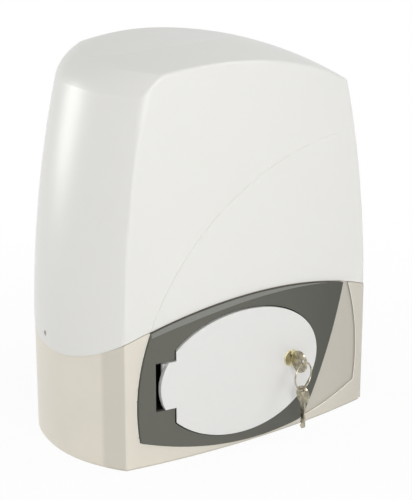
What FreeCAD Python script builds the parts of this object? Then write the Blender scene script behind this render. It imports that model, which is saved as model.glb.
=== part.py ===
import FreeCAD, Part
import math
import os

V = FreeCAD.Vector

# Sliding gate motor. Millimetres, +Z up, front of the housing towards -Y.
# Origin: centre of the anchor bolt pattern, on the underside of the casting.

# ---- housing plan: a bowed front, two bowed sides and a flat back ----
body_half_width = 146.5      # to the front vertical corners
body_half_depth = 80.75
front_bulge = 13.4           # how far the front bows past its corners
side_bulge = 26.5
front_corner_radius = 3.5
rear_corner_radius = 14.0

# ---- casting ----
casting_wall = 7.0
floor_thickness = 8.0
foot_height = 2.5
foot_inset = 2.0
panel_depth = 1.2            # sunk panel on the front face
panel_side_top = 121.5       # half width of the panel under the cover
panel_side_bottom = 133.1
panel_side_bottom_height = 26.9
panel_bottom_height = 3.6

# ---- split line between casting and cover ----
split_corner_height = 128.0
split_crown = 27.0           # rise of the arch above the corners
split_side_fall = 22.0       # drop from the corners to the middle of each side
split_gap = 0.5
tongue_inset = 4.4           # upstand of the casting inside the cover
tongue_height = 5.0

# ---- cover ----
cover_wall = 3.0
cover_side_flare = 2.0       # the cover's sides stand out past the casting's
cover_taper_start = 100.0
cover_taper_width = 28.0
cover_taper_depth = 5.0
cover_taper_bulge = 3.8
roof_peak_x = -33.0
roof_arch_radius = 325.0
roof_crown_height = 392.0
roof_crown_y = 10.0
roof_length_radius = 400.0
cap_radius = 52.0
cap_lean = 22.0              # degrees the cap leans in where it leaves the wall
roof_crease_radius = 4.0
scoop_x = -30.0
scoop_y = 35.0
scoop_depth = 5.0
scoop_half_length = 85.0
scoop_half_width = 52.0
style_arc_x = 108.0
style_arc_z = 48.0
style_arc_radius = 245.0
style_step = 0.7
style_window_x = 104.0
cover_screw_y = 17.0
cover_screw_radius = 2.5

# ---- bezel ----
bezel_top_left_x = -121.5
bezel_right_top_x = 111.4
bezel_proud = 2.5
bezel_top_gap = 0.6
bezel_edge_gap = 0.8
well_wall = 3.0
well_floor_y = -66.0
pocket_left_x = -117.3
pocket_low_z = 57.5
pocket_high_z = 104.7
pocket_gap = 0.8
bezel_screw_places = [(-60.0, 42.0), (-60.0, 114.0), (48.0, 44.0), (48.0, 112.0)]
bezel_screw_radius = 2.0
bezel_screw_head = 4.0
striker_x = 60.0
striker_y = -77.5
bezel_post_radius = 6.0

# ---- release door ----
door_x = -20.0
door_z = 78.0
door_half_length = 93.0
door_half_height = 63.0
door_cut_x = -96.4           # straight left edge beside the tongue
door_gap = 1.2
door_edge_gap = 1.0          # beside the straight left edge
door_lip = 1.2               # what is left of that edge in front of its undercut
door_proud = 4.0
door_thickness = 4.0
hinge_x = -104.0
hinge_y = -84.0
hinge_pin_radius = 1.75
hinge_knuckle_radius = 3.9

# ---- lock and keys ----
lock_x = 38.0
lock_z = 78.0
lock_flange_radius = 8.75
lock_barrel_radius = 7.5
lock_barrel_end_y = -76.5
lock_flange_height = 1.6
lock_nut_y = -84.0
cam_y = -75.2
cam_thickness = 2.5
cam_reach = 26.0
plug_radius = 5.5
running_clearance = 0.05
key_thickness = 2.0
key_blade_height = 6.4
key_bow_radius = 11.0
key_hole_radius = 2.6
key_reach = 17.0             # blade length inside the plug
key_stop = 0.7               # the bow stops this far from the lock's face
spare_bow_radius = 9.0
spare_length = 41.0
ring_radius = 13.4
ring_wire_radius = 0.8
ring_turn = 15.0
ring_slack = 0.35            # between the wire and the edge of the hole it hangs in

# ---- drive ----
shaft_x = -20.0
shaft_z = 78.0
shaft_radius = 12.5
shaft_front_y = -49.7
shaft_end_y = 116.0
worm_module = 2.5
wheel_teeth = 30
worm_pitch_radius = 14.0
wheel_width = 22.0
pinion_module = 4.0
pinion_teeth = 17
pinion_width = 30.0
pinion_front_y = 86.0
wheel_backlash = 0.5
dog_inner = 15.0
dog_outer = 22.0
dog_tooth_width = 8.0
dog_thickness = 11.6
dog_slack = 0.4
dog_pin_radius = 2.3
pinion_screw_radius = 4.0
lid_screw_radius = 2.5
motor_screw_radius = 3.0
motor_screw_reach = 43.0
release_travel = 5.0         # how far the knob draws the dog out of the wheel
rod_radius = 4.0
knob_radius = 27.0
knob_hole_radius = 30.0
knob_front_y = -84.0
knob_face_y = -76.0
knob_back_y = -68.0
knob_stem_radius = 12.0
chamber_x0 = -70.0
chamber_x1 = 78.0
chamber_y0 = -50.0
chamber_y1 = 48.0
chamber_floor = 30.0
chamber_wall = 6.0
chamber_front_wall = 12.0
chamber_rear_wall = 8.0
chamber_top = 126.0
lid_thickness = 6.0
motor_radius = 52.0
motor_height = 138.0
motor_fin_count = 20
motor_fin_height = 4.0
motor_fin_thickness = 2.5
motor_shaft_radius = 8.5
motor_bearing_radius = 17.5
motor_bearing_height = 11.0
stator_outer_radius = 44.0
rotor_radius = 30.0
rotor_gap = 0.6
rotor_low = 30.0             # rotor ends, from the lid and from the motor's top
rotor_high = 24.0
stator_end = 16.0
end_cap_rise = 10.0
boss_radius = 33.0
front_bearing_radius = 23.5
rear_bearing_radius = 26.0
rear_bearing_y = 58.0
rear_bearing_width = 15.0
seal_width = 6.0
worm_core_radius = 10.6
worm_tip_radius = 16.0
worm_turns = 6
worm_bearing_radius = 16.0
worm_bearing_height = 10.0
capacitor_radius = 20.0

# ---- electrics ----
board_x = -58.0
board_y0 = -58.0
board_y1 = 52.0
board_z0 = 168.0
board_z1 = 300.0
board_thickness = 1.6
button_z = 208.0
button_radius = 1.7
transformer_x = -118.0
transformer_core_length = 60.0
transformer_core_height = 50.0
transformer_core_depth = 22.0
transformer_coil_length = 38.0
transformer_coil_depth = 48.0
transformer_coil_edge = 10.0     # core left above and below the coil
transformer_foot_length = 76.0
capacitor_foot = 20.0            # above the lid
capacitor_height = 80.0
capacitor_clip_z = 40.0          # above the lid
capacitor_clip_width = 14.0
capacitor_clip_thickness = 1.5
limit_slot_z = 145.0
lever_x = -20.0
lever_y = 62.0
lever_pin_radius = 2.5
lever_length = 58.0

# ---- base ----
anchor_spacing_x = 240.0
anchor_spacing_y = 100.0
anchor_slot_radius = 5.5
anchor_slot_length = 25.0
levelling_x = 142.0
levelling_y = 22.0
cable_x = 102.0
cable_y = 0.0
cable_hole_radius = 20.0
cable_bore_radius = 15.0
levelling_radius = 4.0

soft_fit = 0.3               # gap left between curved faces of different pieces

cap_start = roof_crown_height - 36.0       # the sides turn over into the roof from here
cover_taper_end = cap_start - 4.0
cover_low_level = cover_taper_start + 50.0
cover_screw_height = split_corner_height - 11.0
far_front = -1.5 * body_half_depth         # well in front of the housing
inside_front = -0.74 * body_half_depth     # well behind its front face

front_radius = (body_half_width ** 2 + front_bulge ** 2) / (2 * front_bulge)
front_centre_y = -body_half_depth - front_bulge + front_radius
wheel_pitch_radius = worm_module * wheel_teeth / 2
worm_x = shaft_x + wheel_pitch_radius + worm_pitch_radius
motor_base_z = chamber_top + lid_thickness
motor_top_z = motor_base_z + motor_height
capacitor_x = worm_x + motor_radius + capacitor_radius + 4.0
dog_face_y = -wheel_width / 2 - 2.0
dog_y1 = dog_face_y - dog_slack
dog_y0 = dog_y1 - dog_thickness
dog_pin_y = (dog_y0 + dog_y1) / 2
rod_front_y = shaft_front_y - 4.0


# ---- small makers ----
def box(x0, x1, y0, y1, z0, z1):
    return Part.makeBox(x1 - x0, y1 - y0, z1 - z0, V(x0, y0, z0))


def centred_box(x, y, length, depth, z0, z1):
    return box(x - length / 2, x + length / 2, y - depth / 2, y + depth / 2, z0, z1)


def cylinder_x(y, z, radius, x0, x1):
    return Part.makeCylinder(radius, x1 - x0, V(x0, y, z), V(1, 0, 0))


def cylinder_y(x, z, radius, y0, y1):
    return Part.makeCylinder(radius, y1 - y0, V(x, y0, z), V(0, 1, 0))


def cylinder_z(x, y, radius, z0, z1):
    return Part.makeCylinder(radius, z1 - z0, V(x, y, z0), V(0, 0, 1))


def line(a, b):
    return Part.LineSegment(a, b).toShape()


def arc(a, b, c):
    return Part.Arc(a, b, c).toShape()


def wire_of(edges):
    return Part.Wire(Part.__sortEdges__(edges))


def prism(edges, direction):
    return Part.Face(wire_of(edges)).extrude(direction)


def prism_y(edges, y0, y1):
    """Extrude a closed outline drawn at y = 0 from y0 to y1."""
    solid = prism(edges, V(0, y1 - y0, 0))
    solid.translate(V(0, y0, 0))
    return solid


def mirrored_x(shape):
    return shape.mirror(V(0, 0, 0), V(1, 0, 0))


def front_y(x, proud=0.0):
    """Y of the bowed front face at x, offset outwards by proud."""
    return front_centre_y - math.sqrt((front_radius + proud) ** 2 - x ** 2)


# ---- places that follow from the bowed front ----
lock_face_y = front_y(lock_x, door_proud) - lock_flange_height
bow_centre_y = lock_face_y - key_stop - key_bow_radius
key_hole = V(lock_x, bow_centre_y - 6.4, lock_z + 2.0)
ring_hang = key_hole_radius - ring_wire_radius - ring_slack
ring_centre = key_hole - V(0, 0, ring_hang + ring_radius)
spare_hole = ring_centre - V(0, 0, ring_hang + ring_radius)


def front_sector(inner, outer, low=-5.0, high=420.0):
    """Space between two cylinders that follow the bowed front face."""
    big = Part.makeCylinder(front_radius + outer, high - low, V(0, front_centre_y, low))
    small = Part.makeCylinder(front_radius + inner, high - low, V(0, front_centre_y, low))
    half = box(-200, 200, -130, -40, low, high)
    return half.common(big).cut(small)


# ---- housing plan at one height ----
def plan_wire(z, half_width, half_depth, bulge_front, bulge_side, front_corner, rear_corner, inset):
    r_front = (half_width ** 2 + bulge_front ** 2) / (2 * bulge_front)
    r_side = (half_depth ** 2 + bulge_side ** 2) / (2 * bulge_side)
    c_front = V(0, -half_depth - bulge_front + r_front, z)
    c_side = V(half_width + bulge_side - r_side, 0, z)
    r_front -= inset
    r_side -= inset
    back_y = half_depth - inset
    r_a = max(front_corner - inset, 0.8)
    r_b = max(rear_corner - inset, 0.8)
    # centre of the front corner arc: inside both arcs by its own radius
    d1 = r_front - r_a
    d2 = r_side - r_a
    gap = c_side - c_front
    base = gap.Length
    along = (d1 ** 2 - d2 ** 2 + base ** 2) / (2 * base)
    across = math.sqrt(d1 ** 2 - along ** 2)
    unit = gap / base
    normal = V(-unit.y, unit.x, 0)
    options = [c_front + unit * along + normal * across, c_front + unit * along - normal * across]
    corner = max(options, key=lambda p: p.x)
    to_front = (corner - c_front).normalize()
    to_side = (corner - c_side).normalize()
    p1 = corner + to_front * r_a
    p2 = corner + to_side * r_a
    p_mid = corner + (to_front + to_side).normalize() * r_a
    # centre of the rear corner arc: inside the side arc and the flat back
    rear = V(c_side.x + math.sqrt((r_side - r_b) ** 2 - (back_y - r_b) ** 2), back_y - r_b, z)
    to_rear = (rear - c_side).normalize()
    p3 = rear + to_rear * r_b
    p4 = rear + V(0, r_b, 0)
    p34 = rear + (to_rear + V(0, 1, 0)).normalize() * r_b
    side_mid = c_side + V(r_side, 0, 0)
    front_mid = c_front - V(0, r_front, 0)

    def left(p):
        return V(-p.x, p.y, p.z)

    edges = [
        arc(left(p1), front_mid, p1),
        arc(p1, p_mid, p2),
        arc(p2, side_mid, p3),
        arc(p3, p34, p4),
        line(p4, left(p4)),
        arc(left(p4), left(p34), left(p3)),
        arc(left(p3), left(side_mid), left(p2)),
        arc(left(p2), left(p_mid), left(p1)),
    ]
    return Part.Wire(edges)


def casting_plan(z, inset=0.0):
    return plan_wire(z, body_half_width, body_half_depth, front_bulge, side_bulge,
                     front_corner_radius, rear_corner_radius, inset)


def casting_prism(inset, z0, z1):
    return Part.Face(casting_plan(z0, inset)).extrude(V(0, 0, z1 - z0))


def cover_taper(z):
    return max((z - cover_taper_start) / (cover_taper_end - cover_taper_start), 0.0)


def cover_half_width(z):
    return body_half_width - cover_taper_width * cover_taper(z) ** 2.2


def cover_half_depth(z):
    return body_half_depth - cover_taper_depth * cover_taper(z) ** 1.3


def cover_side_bulge(z):
    return side_bulge + cover_side_flare - cover_taper_bulge * cover_taper(z)


def cover_plan(z, inset=0.0):
    corner = front_corner_radius + 10.0 * min(max((z - 290.0) / 62.0, 0.0), 1.5)
    return plan_wire(z, cover_half_width(z), cover_half_depth(z), front_bulge,
                     cover_side_bulge(z), corner, rear_corner_radius, inset)


# ---- split surface ----
def split_z(x):
    """Height of the split line above x, on the front and on the sides."""
    radius = (body_half_width ** 2 + split_crown ** 2) / (2 * split_crown)
    if abs(x) <= body_half_width:
        return split_corner_height + split_crown - radius + math.sqrt(radius ** 2 - x ** 2)
    return split_corner_height - (abs(x) - body_half_width) * split_side_fall / side_bulge


def below_split(rise=0.0):
    """Everything below the split line, raised by rise."""
    reach = body_half_width + side_bulge + 20.0
    low = -20.0
    a = V(-reach, 0, split_z(reach) + rise)
    b = V(-body_half_width, 0, split_z(body_half_width) + rise)
    top = V(0, 0, split_z(0) + rise)
    c = V(body_half_width, 0, b.z)
    d = V(reach, 0, a.z)
    e = V(reach, 0, low)
    f = V(-reach, 0, low)
    edges = [line(a, b), arc(b, top, c), line(c, d), line(d, e), line(e, f), line(f, a)]
    return prism_y(edges, -140, 140)


# ---- cover ----
def roof(drop=0.0):
    """Double-curved roof: an arch across the housing, bowed along its depth."""
    axis_z = roof_crown_height - roof_arch_radius
    radius = roof_length_radius - drop
    low = axis_z - roof_arch_radius            # crown drawn below the axis, then revolved
    centre = V(roof_peak_x, roof_crown_y, low + roof_length_radius)
    ends = []
    for y in (-130.0, 120.0):
        ends.append(V(roof_peak_x, y, centre.z - math.sqrt(radius ** 2 - (y - centre.y) ** 2)))
    crown = centre - V(0, 0, radius)
    foot_a = V(roof_peak_x, ends[0].y, axis_z)
    foot_b = V(roof_peak_x, ends[1].y, axis_z)
    edges = [arc(ends[0], crown, ends[1]), line(ends[1], foot_b), line(foot_b, foot_a),
             line(foot_a, ends[0])]
    face = Part.Face(Part.Wire(edges))
    return face.revolve(V(roof_peak_x, 0, axis_z), V(0, 1, 0), 360)


def cap_cutter(inset):
    """What lies outside the high shoulder, where the side curls over into the roof."""
    depth = cover_half_depth(cap_start)
    bulge = cover_side_bulge(cap_start)
    side_radius = (depth ** 2 + bulge ** 2) / (2 * bulge)
    axis_x = side_radius - cover_half_width(cap_start) - bulge
    lean = math.radians(cap_lean)
    centre = V(axis_x + side_radius - cap_radius * math.cos(lean), 0,
               cap_start - cap_radius * math.sin(lean))
    radius = cap_radius - inset

    def on_cap(angle):
        return centre + V(math.cos(angle), 0, math.sin(angle)) * radius

    foot = lean - math.radians(6)
    start = on_cap(foot)
    low = start + V(math.sin(foot), 0, -math.cos(foot)) * 60
    top = on_cap(math.radians(90))
    edges = [line(low, start), arc(start, on_cap(math.radians(55)), top),
             line(top, V(axis_x, 0, top.z)), line(V(axis_x, 0, top.z), V(axis_x, 0, low.z)),
             line(V(axis_x, 0, low.z), low)]
    inside = Part.Face(Part.Wire(edges)).revolve(V(axis_x, 0, 0), V(0, 0, 1), 360)
    block = box(-210, axis_x, -130, 130, low.z + 1, top.z - 0.01)
    return block.cut(inside)


def cover_solid():
    """The cover's outer form before its edges are rounded."""
    low = cover_low_level
    rise = cap_start + 4 - low
    heights = [cover_taper_start - 6, low, low + rise * 5 / 21, low + rise * 10 / 21,
               low + rise * 14 / 21, low + rise * 17.5 / 21, low + rise, roof_crown_height + 8]
    walls = Part.makeLoft([cover_plan(z) for z in heights], True, False)
    return walls.common(roof()).cut(cap_cutter(0))


def cover_hollow():
    """Inside of the cover: straight draft between a few levels, under a faceted roof."""
    heights = [cover_taper_start - 6, cover_low_level, cover_low_level + 70, cap_start - 56,
               cap_start]
    walls = Part.makeLoft([cover_plan(z, cover_wall) for z in heights], True, True)
    axis_z = roof_crown_height - roof_arch_radius
    points = [V(roof_peak_x, -100, axis_z)]
    for y in (-100.0, -40.0, 70.0, 100.0):
        drop = (y - roof_crown_y) ** 2 / (2 * roof_length_radius)
        radius = roof_arch_radius - drop - cover_wall - scoop_depth
        points.append(V(roof_peak_x, y, axis_z - radius))
    points.append(V(roof_peak_x, 100, axis_z))
    edges = [line(a, b) for a, b in zip(points, points[1:] + points[:1])]
    ceiling = Part.Face(Part.Wire(edges)).revolve(V(roof_peak_x, 0, axis_z), V(0, 1, 0), 360)
    shoulder = Part.Face(cover_plan(cap_start, cover_wall + 12)).extrude(V(0, 0, 40))
    return walls.fuse(shoulder).common(ceiling)


def round_roof_edges(solid):
    """Soften the crease that runs round the roof."""
    edges = [edge for edge in solid.Edges if edge.BoundBox.ZMin > cap_start - 30]
    return solid.makeFillet(roof_crease_radius, edges)


def scoop_cutter():
    """Grip hollow across the back of the roof, as a ring segment round a low axis."""
    floor = roof_crown_height - scoop_depth
    curve_y = scoop_half_width ** 2 / 2
    radius_y = curve_y / (scoop_depth - curve_y / roof_length_radius)
    curve_x = scoop_half_length ** 2 / 2
    radius_x = curve_x / (curve_x / roof_arch_radius - scoop_depth)
    low = floor - 2 * radius_x
    ends = []
    for side in (-1, 1):
        y = scoop_y + side * 1.4 * scoop_half_width
        ends.append(V(scoop_x, y, low - radius_y + math.sqrt(radius_y ** 2 - (y - scoop_y) ** 2)))
    a, b = ends
    c = V(scoop_x, b.y, low - 60)
    d = V(scoop_x, a.y, low - 60)
    edges = [arc(a, V(scoop_x, scoop_y, low), b), line(b, c), line(c, d), line(d, a)]
    return Part.Face(Part.Wire(edges)).revolve(V(scoop_x, 0, floor - radius_x), V(0, 1, 0), 360)


def style_panel():
    """Slightly proud field on the cover's front, bounded by a long sweeping arc."""
    top = cap_start - 26
    low = cover_low_level
    heights = [cover_taper_start - 6, low, low + (top - low) * 5 / 18,
               low + (top - low) * 10 / 18, low + (top - low) * 15 / 18, top]
    skin = Part.makeLoft([cover_plan(z, -style_step) for z in heights], True, False)
    field = cylinder_y(style_arc_x, style_arc_z, style_arc_radius, far_front, inside_front)
    window = box(-body_half_width, style_window_x, far_front, inside_front, 0, top)
    return skin.common(field).common(window)


def cover_screw_places():
    """Where each side screw sits: side sign and the x of the cover's outer face there."""
    places = []
    for side in (-1, 1):
        places.append((side, side * side_face_x(cover_screw_y)))
    return places


def side_face_x(y):
    """X of the cover's bowed side at y, at the screw's height."""
    bulge = cover_side_bulge(cover_screw_height)
    depth = cover_half_depth(cover_screw_height)
    radius = (depth ** 2 + bulge ** 2) / (2 * bulge)
    axis_x = cover_half_width(cover_screw_height) + bulge - radius
    return axis_x + math.sqrt(radius ** 2 - y ** 2)


def make_cover_shell():
    solid = round_roof_edges(cover_solid()).cut(scoop_cutter())
    solid = solid.fuse(style_panel())
    shell = solid.cut(cover_hollow())
    for side, face_x in cover_screw_places():
        near = min(face_x - side * 12.0, face_x)
        far = max(face_x - side * 12.0, face_x)
        shell = shell.cut(cylinder_x(cover_screw_y, cover_screw_height, cover_screw_radius + 0.2,
                                     near - 2, far + 2))
    shell = shell.cut(lever_slot())
    return shell.cut(below_split(split_gap))


def make_cover_screws():
    """Captive side screws: a pan head inside the hole and a shank towards the tongue."""
    screws = []
    for side, face_x in cover_screw_places():
        outer = face_x - side * 1.0
        inner = face_x - side * 14.0
        shank = cylinder_x(cover_screw_y, cover_screw_height, cover_screw_radius,
                           min(outer, inner), max(outer, inner))
        slot = box(outer - 1.0, outer + 1.0, cover_screw_y - 2, cover_screw_y + 2,
                   cover_screw_height - 0.4, cover_screw_height + 0.4)
        washer_x = face_x - side * (cover_wall + 2.2)
        washer = cylinder_x(cover_screw_y, cover_screw_height, 4.0,
                            min(washer_x, washer_x + side), max(washer_x, washer_x + side))
        screws.append(shank.cut(slot).fuse(washer))
    return Part.makeCompound(screws)


# ---- bezel and door outlines, drawn in the XZ plane ----
def split_arch(x0, x1, drop):
    a = V(x0, 0, split_z(x0) - drop)
    b = V(x1, 0, split_z(x1) - drop)
    middle = (x0 + x1) / 2
    return a, V(middle, 0, split_z(middle) - drop), b


def panel_edges(grow=0.0):
    """Symmetric sunk panel on the casting's front, open upwards past the split line."""
    top_x = panel_side_top + grow
    low_x = panel_side_bottom + grow
    low_z = panel_side_bottom_height - grow
    bottom = V(0, 0, panel_bottom_height - grow)
    mid_z = 80.0
    mid_x = panel_side_bottom + 1.5 + grow
    high = split_z(0) + 10
    a = V(-top_x, 0, split_z(top_x))
    b = V(-low_x, 0, low_z)
    c = V(low_x, 0, low_z)
    d = V(top_x, 0, split_z(top_x))
    return [arc(a, V(-mid_x, 0, mid_z), b), arc(b, bottom, c), arc(c, V(mid_x, 0, mid_z), d),
            line(d, V(top_x, 0, high)), line(V(top_x, 0, high), V(-top_x, 0, high)),
            line(V(-top_x, 0, high), a)]


def panel_low_z(x):
    """Lower edge of the sunk panel: an arc through its two lower corners."""
    rise = panel_side_bottom_height - panel_bottom_height
    radius = (panel_side_bottom ** 2 + rise ** 2) / (2 * rise)
    return panel_bottom_height + radius - math.sqrt(radius ** 2 - x ** 2)


def bezel_edges():
    a, top, b = split_arch(bezel_top_left_x, bezel_right_top_x, bezel_top_gap)

    def low(x):
        return V(x, 0, panel_low_z(x) + bezel_edge_gap)

    low_left = low(-panel_side_bottom + bezel_edge_gap)
    side_mid = V(-panel_side_bottom - 1.5 + bezel_edge_gap, 0, 80)
    a = V(a.x + bezel_edge_gap, 0, a.z)
    tip_low = low(49.6)
    tip_mid = V(56.5, 0, 10.6)
    tip_high = V(60.5, 0, 15.8)
    return [arc(low_left, low(-42), tip_low), arc(tip_low, tip_mid, tip_high),
            arc(tip_high, V(90.2, 0, 75.5), b), arc(b, top, a), arc(a, side_mid, low_left)]


def oval_face(grow):
    """Door oval with its straight left edge, grown all round by grow."""
    oval = Part.Ellipse(V(0, 0, 0), door_half_length + grow, door_half_height + grow).toShape()
    face = Part.Face(Part.Wire([oval]))
    face.rotate(V(0, 0, 0), V(1, 0, 0), 90)
    face.translate(V(door_x, 0, door_z))
    return face


def oval_prism(grow, left_x, y0, y1):
    face = oval_face(grow)
    face.translate(V(0, y0, 0))
    solid = face.extrude(V(0, y1 - y0, 0))
    return solid.common(box(left_x, 200, y0, y1, -50, 250))


def door_opening(grow, y0, y1):
    """Opening for the door and its hinge pocket, grown by grow."""
    oval = oval_prism(door_gap + grow, door_cut_x - door_edge_gap - grow, y0, y1)
    pocket = box(pocket_left_x - grow, door_cut_x + 5, y0, y1,
                 pocket_low_z - pocket_gap - grow, pocket_high_z + pocket_gap + grow)
    return oval.fuse(pocket)


# ---- front bezel ----
def make_front_bezel():
    """Dark facing with a well behind it for the door, the knob and the hinge."""
    face = prism_y(bezel_edges(), -120, -60).common(front_sector(-panel_depth, bezel_proud))
    well = door_opening(well_wall, -120, well_floor_y + well_wall)
    well = well.common(front_sector(-60, -panel_depth + 0.5))
    solid = face.fuse(well)
    solid = solid.cut(door_opening(0, -120, well_floor_y))
    ledge = box(striker_x, striker_x + 16, striker_y - well_wall, striker_y,
                lock_z - 12, lock_z + 12)
    solid = solid.fuse(ledge.common(door_opening(1.5, -120, -60)))
    cuts = [cylinder_y(shaft_x, shaft_z, knob_hole_radius, well_floor_y - 1, -55)]
    for x, z in bezel_screw_places:
        cuts.append(cylinder_y(x, z, bezel_screw_radius + soft_fit, -70, -60))
    cuts.append(hinge_pin_solid(hinge_pin_radius))
    return solid.cut(cuts).removeSplitter()


def make_bezel_screws():
    screws = []
    for x, z in bezel_screw_places:
        shank = cylinder_y(x, z, bezel_screw_radius, well_floor_y - 1.0, chamber_y0 - 4)
        head = cylinder_y(x, z, bezel_screw_head, well_floor_y - 2.6, well_floor_y)
        screws.append(shank.fuse(head).cut(hex_socket_y(x, z, well_floor_y - 2.6, 1.6, 1.5)))
    return Part.makeCompound(screws)


# ---- casting ----
def slot_cutter(x, y, z0, z1):
    """Slot along X with round ends."""
    half = anchor_slot_length / 2 - anchor_slot_radius
    left = cylinder_z(x - half, y, anchor_slot_radius, z0, z1)
    right = cylinder_z(x + half, y, anchor_slot_radius, z0, z1)
    middle = box(x - half, x + half, y - anchor_slot_radius, y + anchor_slot_radius, z0, z1)
    return left.fuse([right, middle])


def four_corners(dx, dy):
    return [(sx * dx, sy * dy) for sx in (-1, 1) for sy in (-1, 1)]


def make_gearbox_casting():
    """Cast tub with the gear chamber, bearing seats, screw posts and mounting slots."""
    top = split_corner_height + split_crown + 20
    outer = casting_prism(0, foot_height, top).fuse(casting_prism(foot_inset, 0, foot_height))
    walls = outer.common(below_split())
    upstand = casting_prism(tongue_inset, floor_thickness, top).common(below_split(tongue_height))
    tab = box(120, 200, cover_screw_y - 11, cover_screw_y + 11, 90, cover_screw_height + 9)
    tabs = casting_prism(tongue_inset, 80, top).common(tab.fuse(mirrored_x(tab)))
    solid = walls.fuse([upstand, tabs])
    solid = solid.cut(casting_prism(casting_wall, floor_thickness, top + 20))
    solid = solid.fuse(casting_insides())
    for cutter in casting_cuts():
        solid = solid.cut(cutter)
    return solid


def casting_insides():
    """Gear chamber, rear boss, bezel posts and levelling bosses."""
    added = [box(chamber_x0, chamber_x1, chamber_y0, chamber_y1, floor_thickness - 1, chamber_top)]
    added.append(cylinder_y(shaft_x, shaft_z, boss_radius, chamber_y1 - 2, body_half_depth - 1))
    for x, z in bezel_screw_places:
        added.append(cylinder_y(x, z, bezel_post_radius, well_floor_y + well_wall, chamber_y0 + 1))
    for x, y in four_corners(levelling_x, levelling_y):
        added.append(cylinder_z(x, y, 9.0, floor_thickness - 1, floor_thickness + 8))
    return added


def casting_cuts():
    back = body_half_depth + 1
    cuts = [box(chamber_x0 + chamber_wall, chamber_x1 - chamber_wall,
                chamber_y0 + chamber_front_wall, chamber_y1 - chamber_rear_wall,
                chamber_floor, chamber_top + 1)]
    cuts.append(cylinder_z(worm_x, 0, worm_bearing_radius, chamber_floor - worm_bearing_height,
                           chamber_floor + 1))
    # front bearing seat, rear bearing and seal seat
    cuts.append(cylinder_y(shaft_x, shaft_z, front_bearing_radius, chamber_y0 - 1,
                           chamber_y0 + chamber_front_wall + 1))
    cuts.append(cylinder_y(shaft_x, shaft_z, shaft_radius + 4, chamber_y1 - 9, back))
    cuts.append(cylinder_y(shaft_x, shaft_z, rear_bearing_radius, rear_bearing_y, back))
    # sunk panel and the window behind the bezel
    cuts.append(prism_y(panel_edges(), -130, -60).cut(front_sector(-60, -panel_depth)))
    cuts.append(door_opening(well_wall + 0.6, -130, -70))
    for x, z in bezel_screw_places:
        cuts.append(cylinder_y(x, z, bezel_screw_radius, -70, chamber_y0 - 2))
    # base: anchor slots, levelling threads and the cable hole
    for x, y in four_corners(anchor_spacing_x / 2, anchor_spacing_y / 2):
        cuts.append(slot_cutter(x, y, -1, floor_thickness + 1))
    for x, y in four_corners(levelling_x, levelling_y):
        cuts.append(cylinder_z(x, y, levelling_radius, -1, 40))
    cuts.append(cylinder_z(cable_x, cable_y, cable_hole_radius, -1, floor_thickness + 1))
    for x, y in lid_screw_places():
        cuts.append(cylinder_z(x, y, lid_screw_radius, chamber_top - 16, chamber_top + 1))
    for x, y in motor_screw_places():
        cuts.append(cylinder_z(x, y, motor_screw_radius, chamber_top - 12, chamber_top + 1))
    # captive screw slots in the two side tabs, open at the top
    slot = box(130, 200, cover_screw_y - 3.2, cover_screw_y + 3.2, cover_screw_height, 170)
    slot = slot.fuse(cylinder_x(cover_screw_y, cover_screw_height, 3.2, 130, 200))
    cuts.extend([slot, mirrored_x(slot)])
    # opening for the limit lever
    cuts.append(lever_slot())
    return cuts


def lever_slot():
    """Opening for the limit lever through the back of the housing."""
    return box(lever_x - 13, lever_x + 13, lever_y - 2, body_half_depth + 20, limit_slot_z - 6,
               limit_slot_z + 6)


def make_levelling_screws():
    screws = []
    for x, y in four_corners(levelling_x, levelling_y):
        screw = cylinder_z(x, y, levelling_radius, soft_fit, 24)
        screws.append(screw.cut(hex_socket_z(x, y, 20, 6, 2.3)))
    return Part.makeCompound(screws)


def hexagon(radius):
    return [(radius * math.cos(math.radians(60 * k)), radius * math.sin(math.radians(60 * k)))
            for k in range(7)]


def hex_socket_z(x, y, z, depth, radius):
    points = [V(x + a, y + b, z) for a, b in hexagon(radius)]
    return Part.Face(Part.makePolygon(points)).extrude(V(0, 0, depth))


def hex_socket_y(x, z, y, depth, radius):
    points = [V(x + a, y, z + b) for a, b in hexagon(radius)]
    return Part.Face(Part.makePolygon(points)).extrude(V(0, depth, 0))


def lid_screw_places():
    """Down the lid's free left side; the motor's screws hold its right side."""
    x = chamber_x0 + 5.0
    return [(x, chamber_y0 + 6), (x, 0), (x, chamber_y1 - 4)]


def make_gearbox_lid():
    lid = box(chamber_x0, worm_x + motor_radius + 2.5, chamber_y0 - 4, lever_y + 8,
              chamber_top, motor_base_z)
    corners = [edge for edge in lid.Edges if edge.BoundBox.ZLength > lid_thickness - 0.1]
    lid = lid.makeFillet(8.0, corners)
    lid = lid.cut(cylinder_z(worm_x, 0, worm_bearing_radius + 4, chamber_top - 1, motor_base_z + 1))
    for x, y in lid_screw_places():
        lid = lid.cut(cylinder_z(x, y, lid_screw_radius, chamber_top - 1, motor_base_z + 1))
    for x, y in motor_screw_places():
        lid = lid.cut(cylinder_z(x, y, motor_screw_radius, chamber_top - 1, motor_base_z + 1))
    return lid


def make_lid_screws():
    screws = []
    for x, y in lid_screw_places():
        shank = cylinder_z(x, y, lid_screw_radius, chamber_top - 14, motor_base_z + 1)
        head = cylinder_z(x, y, 4.5, motor_base_z, motor_base_z + 4.5)
        screws.append(shank.fuse(head).cut(hex_socket_z(x, y, motor_base_z + 2, 4, 2.3)))
    return Part.makeCompound(screws)


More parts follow.
